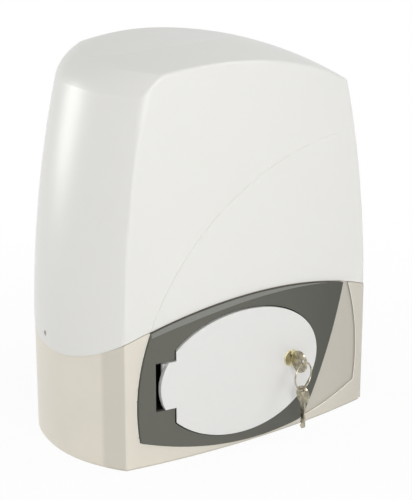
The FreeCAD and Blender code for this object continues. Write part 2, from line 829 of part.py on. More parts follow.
# ---- release door, lock and keys ----
def make_release_door():
    """Oval door that follows the bowed front, with a hinge tongue on its left."""
    plate = oval_prism(0, door_cut_x, far_front, inside_front)
    tongue = box(-body_half_width, door_cut_x + 5, far_front, inside_front, pocket_low_z,
                 pocket_high_z)
    tongue = tongue.common(oval_prism(0, -body_half_width, far_front, inside_front))
    plate = plate.fuse(tongue).removeSplitter()
    plate = plate.common(front_sector(door_proud - door_thickness, door_proud))
    plate = plate.cut(door_undercut())
    knuckle = cylinder_z(hinge_x, hinge_y, hinge_knuckle_radius, pocket_low_z + 2, pocket_high_z - 2)
    web = box(hinge_x - 2.5, hinge_x + 2.5, hinge_y - 5, hinge_y, pocket_low_z + 2,
              pocket_high_z - 2)
    boss = cylinder_y(lock_x, lock_z, lock_flange_radius + 2, -93, -84)
    solid = plate.fuse([knuckle, web, boss])
    cuts = [cylinder_z(hinge_x, hinge_y, hinge_pin_radius + running_clearance, 0, 200)]
    cuts.append(cylinder_y(lock_x, lock_z, lock_barrel_radius, -120, -60))
    cuts.append(cylinder_y(lock_x, lock_z, lock_flange_radius, -120, front_y(lock_x, door_proud)))
    return solid.cut(cuts)


def door_undercut():
    """Slant behind the straight left edge, so that it clears the bezel as the door swings."""
    y = front_y(door_cut_x, door_proud) + door_lip
    depth = 2 * door_thickness
    points = [V(door_cut_x - 1, y - 1, 0), V(door_cut_x + depth, y + depth, 0),
              V(door_cut_x - 1, y + depth, 0), V(door_cut_x - 1, y - 1, 0)]
    wedge = Part.Face(Part.makePolygon(points)).extrude(V(0, 0, 200))
    return wedge.cut(box(-200, 0, -200, 0, pocket_low_z, pocket_high_z))


def hinge_pin_solid(radius):
    return cylinder_z(hinge_x, hinge_y, radius, pocket_low_z - 4, pocket_high_z + 4)


def make_door_hinge_pin():
    return hinge_pin_solid(hinge_pin_radius)


def make_lock_housing():
    flange = cylinder_y(lock_x, lock_z, lock_flange_radius, lock_face_y,
                        front_y(lock_x, door_proud))
    edges = [e for e in flange.Edges if e.BoundBox.YMax < lock_face_y + 0.01]
    flange = flange.makeFillet(0.8, edges)
    barrel = cylinder_y(lock_x, lock_z, lock_barrel_radius, lock_face_y + 1, lock_barrel_end_y)
    solid = flange.fuse(barrel)
    return solid.cut(cylinder_y(lock_x, lock_z, plug_radius + running_clearance, -120, -60))


def make_lock_nut():
    nut = hex_socket_y(lock_x, lock_z, lock_nut_y, 4.0, 11.0)
    return nut.cut(cylinder_y(lock_x, lock_z, lock_barrel_radius, -90, -70))


def make_lock_plug():
    plug = cylinder_y(lock_x, lock_z, plug_radius, lock_face_y + 0.5, cam_y + cam_thickness + 0.7)
    half_x = key_thickness / 2 + 0.15
    half_z = key_blade_height / 2 + 0.15
    keyway = box(lock_x - half_x, lock_x + half_x, -120, lock_face_y + key_reach + 0.5,
                 lock_z - half_z, lock_z + half_z)
    return plug.cut(keyway)


def make_lock_cam():
    end = cam_y + cam_thickness
    cam = box(lock_x - 4, lock_x + 4, cam_y, end, lock_z - cam_reach, lock_z)
    cam = cam.fuse(cylinder_y(lock_x, lock_z, 8.0, cam_y, end))
    return cam.cut(cylinder_y(lock_x, lock_z, plug_radius, -80, -70))


def make_door_striker():
    """Wear plate that the lock's cam turns in behind."""
    return box(striker_x + 1, striker_x + 12, striker_y, striker_y + 1.5, lock_z - 11, lock_z + 11)


def bitted_blade(start, tip):
    """Blade outline from start to tip, (along, height) pairs, cuts on its upper edge."""
    half = key_blade_height / 2
    points = [(start, -half), (tip - 2, -half), (tip, -0.4), (tip, 0.4), (tip - 2, half - 0.8)]
    for step in range(4):
        along = tip - 3.5 - step * 3.2
        depth = half - 2.0 + 0.3 * (step % 2)
        points.extend([(along, half - 0.8), (along - 1.0, depth), (along - 1.8, depth)])
    points.append((start, half))
    return points + points[:1]


def key_solid(bow_y, bow_z, bow_radius, blade, hole):
    """Flat key in the plane x = lock_x from its blade points, round bow and hole."""
    plate = Part.Face(Part.makePolygon([p - V(key_thickness / 2, 0, 0) for p in blade]))
    plate = plate.extrude(V(key_thickness, 0, 0))
    bow = cylinder_x(bow_y, bow_z, bow_radius, lock_x - key_thickness / 2,
                     lock_x + key_thickness / 2)
    return bow.fuse(plate).cut(cylinder_x(hole.y, hole.z, key_hole_radius, lock_x - 5, lock_x + 5))


def make_door_key():
    blade = [V(lock_x, y, lock_z + height)
             for y, height in bitted_blade(bow_centre_y + 4, lock_face_y + key_reach)]
    return key_solid(bow_centre_y, lock_z, key_bow_radius, blade, key_hole)


def make_key_ring():
    ring = Part.makeTorus(ring_radius, ring_wire_radius, V(0, 0, 0), V(0, 1, 0))
    ring.rotate(V(0, 0, 0), V(0, 0, 1), ring_turn)
    ring.translate(ring_centre)
    return ring


def make_spare_key():
    """Second key, hanging bow up from the ring."""
    y = ring_centre.y
    bow_z = spare_hole.z - spare_bow_radius + 4.0
    blade = [V(lock_x, y + height, -along)
             for along, height in bitted_blade(5 - bow_z, spare_length - spare_hole.z)]
    return key_solid(y, bow_z, spare_bow_radius, blade, spare_hole)


# ---- gears ----
def involute_outline(module, teeth, addendum, dedendum, thinning, turn=0.0):
    """Closed outline of a spur gear in the XZ plane about the origin, tooth gap on +X."""
    pitch = module * teeth / 2
    pressure = math.radians(20)
    base = pitch * math.cos(pressure)
    outer = pitch + addendum
    root = pitch - dedendum
    involute = math.tan(pressure) - pressure
    half_tooth = (math.pi * module / 2 - thinning) / 2 / pitch

    def flank_angle(radius):
        if radius <= base:
            return half_tooth + involute
        alpha = math.acos(base / radius)
        return half_tooth + involute - (math.tan(alpha) - alpha)

    def polar(radius, angle):
        return V(radius * math.cos(angle), 0, radius * math.sin(angle))

    flank_start = max(base, root + 0.2)
    radii = [flank_start, (flank_start + pitch) / 2, (pitch + outer) / 2, outer]
    edges = []
    step = 2 * math.pi / teeth
    for tooth in range(teeth):
        middle = math.radians(turn) + (tooth + 0.5) * step
        rise = [polar(r, middle - flank_angle(r)) for r in radii]
        fall = [polar(r, middle + flank_angle(r)) for r in reversed(radii)]
        foot_in = polar(root, middle - flank_angle(flank_start))
        foot_out = polar(root, middle + flank_angle(flank_start))
        next_foot = polar(root, middle + step - flank_angle(flank_start))
        rise_curve = Part.BSplineCurve()
        rise_curve.interpolate(rise)
        fall_curve = Part.BSplineCurve()
        fall_curve.interpolate(fall)
        edges.append(line(foot_in, rise[0]))
        edges.append(rise_curve.toShape())
        edges.append(arc(rise[-1], polar(outer, middle), fall[0]))
        edges.append(fall_curve.toShape())
        edges.append(line(fall[-1], foot_out))
        edges.append(arc(foot_out, polar(root, middle + step / 2), next_foot))
    return Part.Wire(edges)


def make_drive_pinion():
    outline = involute_outline(pinion_module, pinion_teeth, pinion_module, 1.25 * pinion_module, 0.1)
    gear = Part.Face(outline).extrude(V(0, pinion_width, 0))
    gear.translate(V(shaft_x, pinion_front_y, shaft_z))
    hub = cylinder_y(shaft_x, shaft_z, 20, pinion_front_y - 3, pinion_front_y + 1)
    solid = gear.fuse(hub)
    solid = solid.cut(cylinder_y(shaft_x, shaft_z, shaft_radius, 70, 130))
    return solid.cut(key_block(pinion_front_y - 5, pinion_front_y + pinion_width + 1, 0.0))


def key_block(y0, y1, slack):
    """Parallel key on top of the output shaft."""
    half = 4.0 + slack
    return box(shaft_x - half, shaft_x + half, y0, y1,
               shaft_z + shaft_radius - 4.0 - slack, shaft_z + shaft_radius + 3.0 + slack)


def make_shaft_key():
    return key_block(pinion_front_y + 2, pinion_front_y + pinion_width - 4, 0)


def make_worm_wheel():
    """Bronze wheel with teeth leaning at the worm's lead angle, recessed webs and dog slots."""
    half = wheel_width / 2
    lean = math.degrees(wheel_width * worm_module / (2 * worm_pitch_radius) / wheel_pitch_radius)
    wires = []
    for side in (-1, 1):
        wire = involute_outline(worm_module, wheel_teeth, 0.9 * worm_module, 1.2 * worm_module,
                                wheel_backlash, -side * lean / 2)
        wire.translate(V(0, side * half, 0))
        wires.append(wire)
    rim = Part.makeLoft(wires, True, True)
    rim.translate(V(shaft_x, 0, shaft_z))
    hub = cylinder_y(shaft_x, shaft_z, dog_outer + 2, dog_face_y, half + 4)
    solid = rim.fuse(hub)
    for y in (-half - 1, half - 5):
        web = cylinder_y(shaft_x, shaft_z, 30, y, y + 6)
        solid = solid.cut(web.cut(cylinder_y(shaft_x, shaft_z, dog_outer + 2, y, y + 6)))
    cuts = [cylinder_y(shaft_x, shaft_z, shaft_radius, -40, 40)]
    cuts.extend(dog_tooth(k, dog_face_y - 1, dog_face_y + 6, dog_slack) for k in range(4))
    return solid.cut(cuts)


def dog_tooth(index, y0, y1, slack):
    half = dog_tooth_width / 2 + slack
    tooth = box(shaft_x + dog_inner - slack, shaft_x + dog_outer + slack, y0, y1,
                shaft_z - half, shaft_z + half)
    tooth.rotate(V(shaft_x, 0, shaft_z), V(0, 1, 0), 90 * index + 45)
    return tooth


def make_output_shaft():
    """Shaft with a collar, a key seat, a threaded end and a bore for the release rod."""
    shaft = cylinder_y(shaft_x, shaft_z, shaft_radius, shaft_front_y, shaft_end_y)
    shaft = shaft.fuse(cylinder_y(shaft_x, shaft_z, shaft_radius + 3, rear_bearing_y - 12,
                                  rear_bearing_y - 3))
    half = dog_pin_radius + soft_fit
    cuts = [make_shaft_key()]
    cuts.append(cylinder_y(shaft_x, shaft_z, pinion_screw_radius, shaft_end_y - 22, shaft_end_y + 1))
    cuts.append(cylinder_y(shaft_x, shaft_z, rod_radius + running_clearance, shaft_front_y - 1, 0))
    cuts.append(box(shaft_x - 20, shaft_x + 20, dog_pin_y - half - release_travel, dog_pin_y + half,
                    shaft_z - half, shaft_z + half))
    return shaft.cut(cuts)


def make_clutch_dog():
    """Sliding dog: a ring with four teeth, joined by a cross pin to the release rod."""
    ring = cylinder_y(shaft_x, shaft_z, dog_outer + 1, dog_y0, dog_y1)
    ring = ring.fuse([dog_tooth(k, dog_y1 - 1, dog_face_y + 5, 0) for k in range(4)])
    ring = ring.cut(cylinder_y(shaft_x, shaft_z, shaft_radius + running_clearance, -60, 0))
    rod = cylinder_y(shaft_x, shaft_z, rod_radius, rod_front_y, dog_pin_y + 5)
    pin = cylinder_x(dog_pin_y, shaft_z, dog_pin_radius, shaft_x - dog_outer, shaft_x + dog_outer)
    return ring.fuse([rod, pin])


def make_pinion_screw():
    washer_end = shaft_end_y + 2.5
    washer = cylinder_y(shaft_x, shaft_z, shaft_radius + 4.5, shaft_end_y, washer_end)
    head = cylinder_y(shaft_x, shaft_z, 7.5, washer_end, washer_end + 5.5)
    shank = cylinder_y(shaft_x, shaft_z, pinion_screw_radius, shaft_end_y - 20, shaft_end_y + 3)
    socket = hex_socket_y(shaft_x, shaft_z, washer_end + 1.5, 8, 4.0)
    return washer.fuse([head, shank]).cut(socket)


def bearing_y(y0, width, bore, outer):
    """Ball bearing shown as its two races with a shielded gap between them."""
    race = cylinder_y(shaft_x, shaft_z, outer, y0, y0 + width)
    race = race.cut(cylinder_y(shaft_x, shaft_z, bore, y0 - 1, y0 + width + 1))
    groove_in = (2 * bore + outer) / 3
    groove_out = (bore + 2 * outer) / 3
    for y in (y0 - 1, y0 + width - 0.8):
        groove = cylinder_y(shaft_x, shaft_z, groove_out, y, y + 1.8)
        race = race.cut(groove.cut(cylinder_y(shaft_x, shaft_z, groove_in, y, y + 1.8)))
    return race


def make_front_bearing():
    return bearing_y(chamber_y0, chamber_front_wall, shaft_radius + running_clearance,
                     front_bearing_radius)


def make_rear_bearing():
    return bearing_y(rear_bearing_y, rear_bearing_width, shaft_radius + running_clearance,
                     rear_bearing_radius)


def make_shaft_seal():
    y0 = rear_bearing_y + rear_bearing_width
    seal = cylinder_y(shaft_x, shaft_z, rear_bearing_radius, y0, y0 + seal_width)
    seal = seal.cut(cylinder_y(shaft_x, shaft_z, shaft_radius + running_clearance, y0 - 1, y0 + 9))
    dish = cylinder_y(shaft_x, shaft_z, rear_bearing_radius - 4, y0 + seal_width - 2, y0 + 9)
    return seal.cut(dish.cut(cylinder_y(shaft_x, shaft_z, shaft_radius + 4, y0, y0 + 9)))


# ---- motor and worm ----
def make_worm_shaft():
    """Motor shaft with a single-start worm cut on its lower end."""
    pitch = math.pi * worm_module
    low = shaft_z - pitch / 2 - (worm_turns // 2) * pitch
    helix = Part.makeHelix(pitch, worm_turns * pitch, worm_core_radius)
    half_root = pitch / 2 - 1.25
    half_tip = 1.05
    inner = worm_core_radius - 0.6
    profile = Part.makePolygon([V(inner, 0, -half_root), V(worm_tip_radius, 0, -half_tip),
                                V(worm_tip_radius, 0, half_tip), V(inner, 0, half_root),
                                V(inner, 0, -half_root)])
    thread = Part.Wire(helix.Edges).makePipeShell([profile], True, True)
    thread.translate(V(worm_x, 0, low))
    core = cylinder_z(worm_x, 0, worm_core_radius, low - 5, chamber_top - 14)
    journal = cylinder_z(worm_x, 0, motor_shaft_radius,
                         chamber_floor - worm_bearing_height + soft_fit, motor_top_z + 6)
    return core.fuse([thread, journal])


def ring_z(x, y, inner, outer, z0, z1):
    return cylinder_z(x, y, outer, z0, z1).cut(cylinder_z(x, y, inner, z0 - 1, z1 + 1))


def make_worm_bearing():
    return ring_z(worm_x, 0, motor_shaft_radius + running_clearance, worm_bearing_radius,
                  chamber_floor - worm_bearing_height, chamber_floor)


def make_motor_bearings():
    bore = motor_shaft_radius + running_clearance
    high_z = motor_top_z - 1
    low = ring_z(worm_x, 0, bore, motor_bearing_radius, motor_base_z,
                 motor_base_z + motor_bearing_height)
    high = ring_z(worm_x, 0, bore, motor_bearing_radius, high_z - motor_bearing_height, high_z)
    return Part.makeCompound([low, high])


def make_motor_housing():
    """Finned aluminium barrel on a square flange."""
    flange = box(worm_x - motor_radius, worm_x + motor_radius, -motor_radius, motor_radius,
                 motor_base_z, motor_base_z + 10)
    flange = flange.makeFillet(motor_radius - motor_screw_reach,
                               [e for e in flange.Edges if e.BoundBox.ZLength > 9])
    barrel_radius = motor_radius - motor_fin_height
    barrel = cylinder_z(worm_x, 0, barrel_radius, motor_base_z, motor_top_z - 10)
    fins = []
    for k in range(motor_fin_count):
        fin = box(barrel_radius - 1, motor_radius, -motor_fin_thickness / 2, motor_fin_thickness / 2,
                  motor_base_z + 16, motor_top_z - 12)
        fin.rotate(V(0, 0, 0), V(0, 0, 1), 360.0 * (k + 0.5) / motor_fin_count)
        fin.translate(V(worm_x, 0, 0))
        fins.append(fin)
    solid = flange.fuse([barrel] + fins)
    cuts = [cylinder_z(worm_x, 0, stator_outer_radius, motor_base_z + 16, motor_top_z)]
    cuts.append(cylinder_z(worm_x, 0, motor_bearing_radius, motor_base_z - 1,
                           motor_base_z + motor_bearing_height))
    cuts.append(cylinder_z(worm_x, 0, motor_shaft_radius + 3, motor_base_z - 1, motor_base_z + 20))
    cuts.extend(cylinder_z(x, y, motor_screw_radius, motor_base_z - 1, motor_base_z + 11)
                for x, y in motor_screw_places())
    return solid.cut(cuts)


def motor_screw_places():
    return [(worm_x + dx, dy) for dx, dy in four_corners(motor_screw_reach, motor_screw_reach)]


def make_motor_stator():
    return ring_z(worm_x, 0, rotor_radius + rotor_gap, stator_outer_radius, motor_base_z + 22,
                  motor_top_z - stator_end)


def make_motor_end_cap():
    foot = motor_top_z - end_cap_rise
    cap = cylinder_z(worm_x, 0, motor_radius - 2, foot, motor_top_z + end_cap_rise)
    cap = cap.makeFillet(8, [e for e in cap.Edges if e.BoundBox.ZMin > motor_top_z + 1])
    cuts = [cylinder_z(worm_x, 0, stator_outer_radius - 4, foot - 1, foot + 2)]
    cuts.append(cylinder_z(worm_x, 0, motor_bearing_radius, foot - 1, motor_top_z - 1))
    cuts.append(cylinder_z(worm_x, 0, motor_shaft_radius + 1.5, foot - 1, motor_top_z + 7))
    return cap.cut(cuts)


def make_motor_screws():
    """Four long screws through the flange and the lid into the casting."""
    screws = []
    for x, y in motor_screw_places():
        head = cylinder_z(x, y, 5.0, motor_base_z + 10, motor_base_z + 14)
        shank = cylinder_z(x, y, motor_screw_radius, chamber_top - 10, motor_base_z + 11)
        screws.append(head.fuse(shank).cut(hex_socket_z(x, y, motor_base_z + 12, 4, 2.6)))
    return Part.makeCompound(screws)


def make_rotor_core():
    return ring_z(worm_x, 0, motor_shaft_radius, rotor_radius, motor_base_z + rotor_low,
                  motor_top_z - rotor_high)


# ---- release knob ----
def make_release_knob():
    """Round knob with a grip bar; its stem draws the release rod."""
    disc = cylinder_y(shaft_x, shaft_z, knob_radius, knob_face_y, knob_back_y)
    bar = box(shaft_x - 23, shaft_x + 23, knob_front_y, knob_face_y + 1, shaft_z - 5, shaft_z + 5)
    bar = bar.makeFillet(3.0, [e for e in bar.Edges if e.BoundBox.YMax < knob_front_y + 0.01])
    stem = cylinder_y(shaft_x, shaft_z, knob_stem_radius, knob_back_y - 1, rod_front_y - soft_fit)
    solid = disc.fuse([bar, stem])
    cuts = [cylinder_y(shaft_x, shaft_z, rod_radius + soft_fit, rod_front_y - release_travel - 0.5,
                       rod_front_y)]
    for k in range(12):
        angle = math.radians(30 * k + 15)
        cuts.append(cylinder_y(shaft_x + (knob_radius + 1.5) * math.cos(angle),
                               shaft_z + (knob_radius + 1.5) * math.sin(angle),
                               3.5, knob_face_y - 1, knob_back_y + 1))
    return solid.cut(cuts)


def make_knob_bush():
    """Bush that carries the knob's stem on the gear chamber's front wall."""
    bush = cylinder_y(shaft_x, shaft_z, front_bearing_radius + 3, chamber_y0 - 10, chamber_y0)
    return bush.cut(cylinder_y(shaft_x, shaft_z, knob_stem_radius + running_clearance, -80, -40))


# ---- electrics ----
def make_board_holder():
    """Plastic back plate on two legs that stand on the lid."""
    plate = box(board_x + 8, board_x + 11, board_y0 - 3, board_y1 + 3, board_z0 - 6, board_z1 + 4)
    legs = [box(board_x + 2, board_x + 14, y, y + 16, chamber_top + lid_thickness, board_z0)
            for y in (board_y0 + 8, board_y1 - 24)]
    posts = [cylinder_x(y, z, 3.0, board_x + board_thickness, board_x + 9)
             for y in (board_y0 + 5, board_y1 - 5) for z in (board_z0 + 5, board_z1 - 5)]
    rim = box(board_x + 6, board_x + 9, board_y0 - 3, board_y1 + 3, board_z0 - 6, board_z1 + 4)
    rim = rim.cut(box(board_x, board_x + 20, board_y0, board_y1, board_z0 - 3, board_z1 + 1))
    return plate.fuse(legs + posts + [rim])


def make_control_board():
    """Printed board with relays, a processor, a fuse holder, a receiver and a button frame."""
    board = box(board_x, board_x + board_thickness, board_y0, board_y1, board_z0, board_z1)
    on_board = []
    for k in range(3):
        y = board_y0 + 12 + k * 24
        on_board.append(box(board_x - 15, board_x, y, y + 19, board_z1 - 32, board_z1 - 16))
    on_board.append(box(board_x - 3, board_x, -14, 12, board_z0 + 62, board_z0 + 74))
    on_board.append(box(board_x - 12, board_x, board_y0 + 8, board_y0 + 32,
                        board_z0 + 52, board_z0 + 62))
    on_board.append(box(board_x - 18, board_x, board_y1 - 30, board_y1 - 26,
                        board_z0 + 40, board_z0 + 84))
    for k in range(2):
        on_board.append(cylinder_x(28 + k * 13, board_z0 + 30, 5.0, board_x - 20, board_x))
    frame = box(board_x - 4, board_x, -4, 4, button_z - 4, button_z + 4)
    frame = frame.cut(cylinder_x(0, button_z, button_radius + soft_fit, board_x - 5, board_x - 1))
    return board.fuse(on_board + [frame])


def make_terminal_block():
    """Row of screw terminals along the board's lower edge."""
    block = box(board_x - 11, board_x, board_y0 + 6, board_y1 - 26, board_z0 + 4, board_z0 + 15)
    count = 8
    pitch = (board_y1 - 26 - board_y0 - 6) / count
    for k in range(count):
        y = board_y0 + 6 + (k + 0.5) * pitch
        block = block.cut(box(board_x - 12, board_x - 6, y - 2.6, y + 2.6, board_z0, board_z0 + 8))
        block = block.cut(cylinder_x(y, board_z0 + 11.5, 2.2, board_x - 12, board_x - 8))
    return block


def make_program_button():
    return cylinder_x(0, button_z, button_radius, board_x - 6.5, board_x - 1.5)


def make_transformer():
    """Laminated core with a wound bobbin, on the casting's floor at the left."""
    x = transformer_x
    z = floor_thickness
    core = centred_box(x, 0, transformer_core_length, transformer_core_depth, z,
                       z + transformer_core_height)
    coil = centred_box(x, 0, transformer_coil_length, transformer_coil_depth,
                       z + transformer_coil_edge,
                       z + transformer_core_height - transformer_coil_edge)
    coil = coil.makeFillet(5, [e for e in coil.Edges if e.BoundBox.ZLength > 1])
    foot = centred_box(x, 0, transformer_foot_length, 14.0, z, z + 2)
    return core.fuse([coil, foot])


def make_run_capacitor():
    low = motor_base_z + capacitor_foot
    top = low + capacitor_height
    can = cylinder_z(capacitor_x, 0, capacitor_radius, low, top)
    can = can.makeFillet(3, [e for e in can.Edges if e.BoundBox.ZLength < 0.1])
    posts = [centred_box(capacitor_x, y, 0.8, 6.0, top - 1, top + 7) for y in (-8, 8)]
    return can.fuse(posts)


def make_capacitor_clip():
    """Band round the capacitor with a strap to the motor."""
    z = motor_base_z + capacitor_clip_z
    top = z + capacitor_clip_width
    band = ring_z(capacitor_x, 0, capacitor_radius, capacitor_radius + capacitor_clip_thickness, z,
                  top)
    strap = box(worm_x + 20, capacitor_x - 5, -5, 5, z, top)
    strap = strap.cut(cylinder_z(worm_x, 0, motor_radius - motor_fin_height, z - 1, top + 1))
    return band.fuse(strap.cut(cylinder_z(capacitor_x, 0, capacitor_radius, z - 1, top + 1)))


# ---- limit switch ----
def make_limit_switch():
    """Switch box on the lid with the lever's pivot inside it."""
    top = limit_slot_z + 10
    case = box(lever_x - 22, lever_x + 22, lever_y - 8, lever_y + 8, motor_base_z, top)
    case = case.cut(box(lever_x - 15, lever_x + 15, lever_y - 6, lever_y + 9,
                        limit_slot_z - 6.5, limit_slot_z + 6.5))
    return case.fuse(cylinder_z(lever_x, lever_y, lever_pin_radius, limit_slot_z - 7,
                                limit_slot_z + 7))


def make_limit_lever():
    """Sprung pole that the gate's end stops push to either side."""
    hub = cylinder_z(lever_x, lever_y, 5.5, limit_slot_z - 5, limit_slot_z + 5)
    end = lever_y + lever_length
    added = [cylinder_y(lever_x, limit_slot_z, 3.2, lever_y + 3, end)]
    for k in range(9):
        y = lever_y + 26 + k * 3.4
        added.append(cylinder_y(lever_x, limit_slot_z, 4.2, y, y + 1.9))
    added.append(Part.makeSphere(4.6, V(lever_x, end, limit_slot_z)))
    solid = hub.fuse(added)
    return solid.cut(cylinder_z(lever_x, lever_y, lever_pin_radius + running_clearance, 100, 200))


# ---- cable inlet ----
def make_cable_grommet():
    ring = cylinder_z(cable_x, cable_y, cable_hole_radius, 1.5, floor_thickness)
    lip = cylinder_z(cable_x, cable_y, cable_hole_radius + 3, floor_thickness, floor_thickness + 2.5)
    solid = ring.fuse(lip)
    return solid.cut(cylinder_z(cable_x, cable_y, cable_bore_radius, 0, 30))


PIECES = {
    "gearbox_casting": make_gearbox_casting,
    "levelling_screws": make_levelling_screws,
    "gearbox_lid": make_gearbox_lid,
    "lid_screws": make_lid_screws,
    "front_bezel": make_front_bezel,
    "bezel_screws": make_bezel_screws,
    "release_door": make_release_door,
    "door_hinge_pin": make_door_hinge_pin,
    "door_striker": make_door_striker,
    "lock_housing": make_lock_housing,
    "lock_nut": make_lock_nut,
    "lock_plug": make_lock_plug,
    "lock_cam": make_lock_cam,
    "door_key": make_door_key,
    "key_ring": make_key_ring,
    "spare_key": make_spare_key,
    "cover_shell": make_cover_shell,
    "cover_screws": make_cover_screws,
    "release_knob": make_release_knob,
    "knob_bush": make_knob_bush,
    "clutch_dog": make_clutch_dog,
    "output_shaft": make_output_shaft,
    "shaft_key": make_shaft_key,
    "worm_wheel": make_worm_wheel,
    "drive_pinion": make_drive_pinion,
    "pinion_screw": make_pinion_screw,
    "front_bearing": make_front_bearing,
    "rear_bearing": make_rear_bearing,
    "shaft_seal": make_shaft_seal,
    "worm_shaft": make_worm_shaft,
    "rotor_core": make_rotor_core,
    "worm_bearing": make_worm_bearing,
    "motor_bearings": make_motor_bearings,
    "motor_housing": make_motor_housing,
    "motor_stator": make_motor_stator,
    "motor_end_cap": make_motor_end_cap,
    "motor_screws": make_motor_screws,
    "board_holder": make_board_holder,
    "control_board": make_control_board,
    "terminal_block": make_terminal_block,
    "program_button": make_program_button,
    "transformer": make_transformer,
    "run_capacitor": make_run_capacitor,
    "capacitor_clip": make_capacitor_clip,
    "limit_switch": make_limit_switch,
    "limit_lever": make_limit_lever,
    "cable_grommet": make_cable_grommet,
}

os.makedirs("parts", exist_ok=True)
for node, make in PIECES.items():
    make().exportStep("parts/" + node + ".step")
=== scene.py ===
import math

import bmesh
import bpy
from bpy.props import FloatProperty, FloatVectorProperty, IntProperty, PointerProperty
from bpy.types import Operator, Panel, PropertyGroup
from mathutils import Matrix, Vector


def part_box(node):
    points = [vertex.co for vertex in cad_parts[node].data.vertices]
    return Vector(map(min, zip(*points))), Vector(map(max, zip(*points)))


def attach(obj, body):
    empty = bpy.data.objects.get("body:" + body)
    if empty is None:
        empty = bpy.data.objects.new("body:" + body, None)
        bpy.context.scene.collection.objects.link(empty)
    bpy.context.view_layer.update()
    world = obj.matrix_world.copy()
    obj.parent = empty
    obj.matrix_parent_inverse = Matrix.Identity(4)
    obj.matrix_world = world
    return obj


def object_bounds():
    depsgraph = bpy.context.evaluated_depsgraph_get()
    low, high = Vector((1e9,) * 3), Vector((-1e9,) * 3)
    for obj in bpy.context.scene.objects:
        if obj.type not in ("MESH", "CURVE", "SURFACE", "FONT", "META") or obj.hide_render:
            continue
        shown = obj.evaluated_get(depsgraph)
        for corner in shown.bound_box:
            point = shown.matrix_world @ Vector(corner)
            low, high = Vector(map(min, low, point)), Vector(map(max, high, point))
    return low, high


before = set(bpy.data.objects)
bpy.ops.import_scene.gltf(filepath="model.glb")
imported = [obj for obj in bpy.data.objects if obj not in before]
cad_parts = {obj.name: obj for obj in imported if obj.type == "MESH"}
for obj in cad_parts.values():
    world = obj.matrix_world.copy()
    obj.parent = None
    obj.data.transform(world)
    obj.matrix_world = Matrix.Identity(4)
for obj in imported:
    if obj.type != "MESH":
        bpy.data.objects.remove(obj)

bl_info = {
    "name": "Sliding gate motor",
    "version": (1, 0, 0),
    "blender": (4, 5, 0),
    "location": "3D Viewport > Sidebar > Gate motor",
    "description": "Dresses the sliding gate motor with its finishes, trim, stage and lights",
    "category": "Object",
}

MM = 0.001
CAD_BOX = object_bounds()
CENTRE = (CAD_BOX[0] + CAD_BOX[1]) / 2

# The bowed front of the casting, placed by the box of the facing, which stands proud of it.
FACING_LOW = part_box("front_bezel")[0]
FRONT_RADIUS = 807.5 * MM
FACING_PROUD = 2.5 * MM
FRONT_CENTRE_Y = FACING_LOW.y + FRONT_RADIUS + FACING_PROUD
HALF_WIDTH = 150.0 * MM
FACING_HALF_WIDTH = 130.0 * MM
# The arch between casting and cover.
ARCH_RADIUS = 410.95 * MM
ARCH_CROWN = 155.0 * MM
# The sunk panel of the casting: its side bows out a little between the arch and a lower corner,
# and its lower edge is an arc from corner to corner.
PANEL_TOP_X = 121.5 * MM
PANEL_MIDDLE_X = 134.6 * MM
PANEL_CORNER_X = 133.1 * MM
PANEL_CORNER_Z = 26.9 * MM
PANEL_LOW_Z = 3.6 * MM
PANEL_BACK_Y = -60.0 * MM
EDGE_END_X = 62.0 * MM
# The trim strip along the top of the facing, from its left end to where it runs out.
STRIP_LEFT = FACING_LOW.x + 13.6 * MM
STRIP_RIGHT = 88.0 * MM
STRIP_GAP = 0.75 * MM
STRIP_LEAST = 0.25 * MM
STRIP_SUNK = 0.4 * MM

# Lamps: name, place, width, and the setting that holds the power.
LAMPS = (
    ("main_light", Vector((-0.58, -2.24, 1.03)), 1.5, "key_power"),
    ("side_light", Vector((-1.32, 1.74, 0.46)), 0.9, "side_power"),
    ("top_light", Vector((1.15, -0.72, 2.0)), 0.7, "top_power"),
)
CAMERA_TARGET = Vector((5.6, 0.0, 170.3)) * MM
SENSOR_WIDTH = 36.0
FLOOR_DROP = 0.2 * MM
# Share of plain white in the floor as it is seen, near the part and far from it.
FLOOR_WHITE_NEAR, FLOOR_WHITE_FAR = 0.94, 1.0
FLOOR_TURN, FLOOR_BLEND = 0.42, 0.5


def linear(*tone):
    """Scene colour of a tone given in screen values from 0 to 1."""
    return tuple(c / 12.92 if c <= 0.04045 else ((c + 0.055) / 1.055) ** 2.4 for c in tone)


def shade(tone, factor):
    """A tone made lighter or darker."""
    return tuple(min(1.0, c * factor) for c in tone[:3])


def front_y(x, proud):
    """Y of the bowed front at x, this far in front of the facing's own surface."""
    return FRONT_CENTRE_Y - math.sqrt((FRONT_RADIUS + FACING_PROUD + proud) ** 2 - x * x)


def arch_z(x):
    """Height of the joint between casting and cover at x."""
    return ARCH_CROWN - ARCH_RADIUS + math.sqrt(ARCH_RADIUS ** 2 - x * x)


def middle_of(node):
    low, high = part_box(node)
    return (low + high) / 2


def colour_setting(name, description, tone):
    return FloatVectorProperty(name=name, description=description, default=linear(*tone),
                               subtype="COLOR", min=0.0, max=1.0)


def power_setting(name, description, power):
    return FloatProperty(name=name, description=description, default=power, unit="POWER",
                         min=0.0)


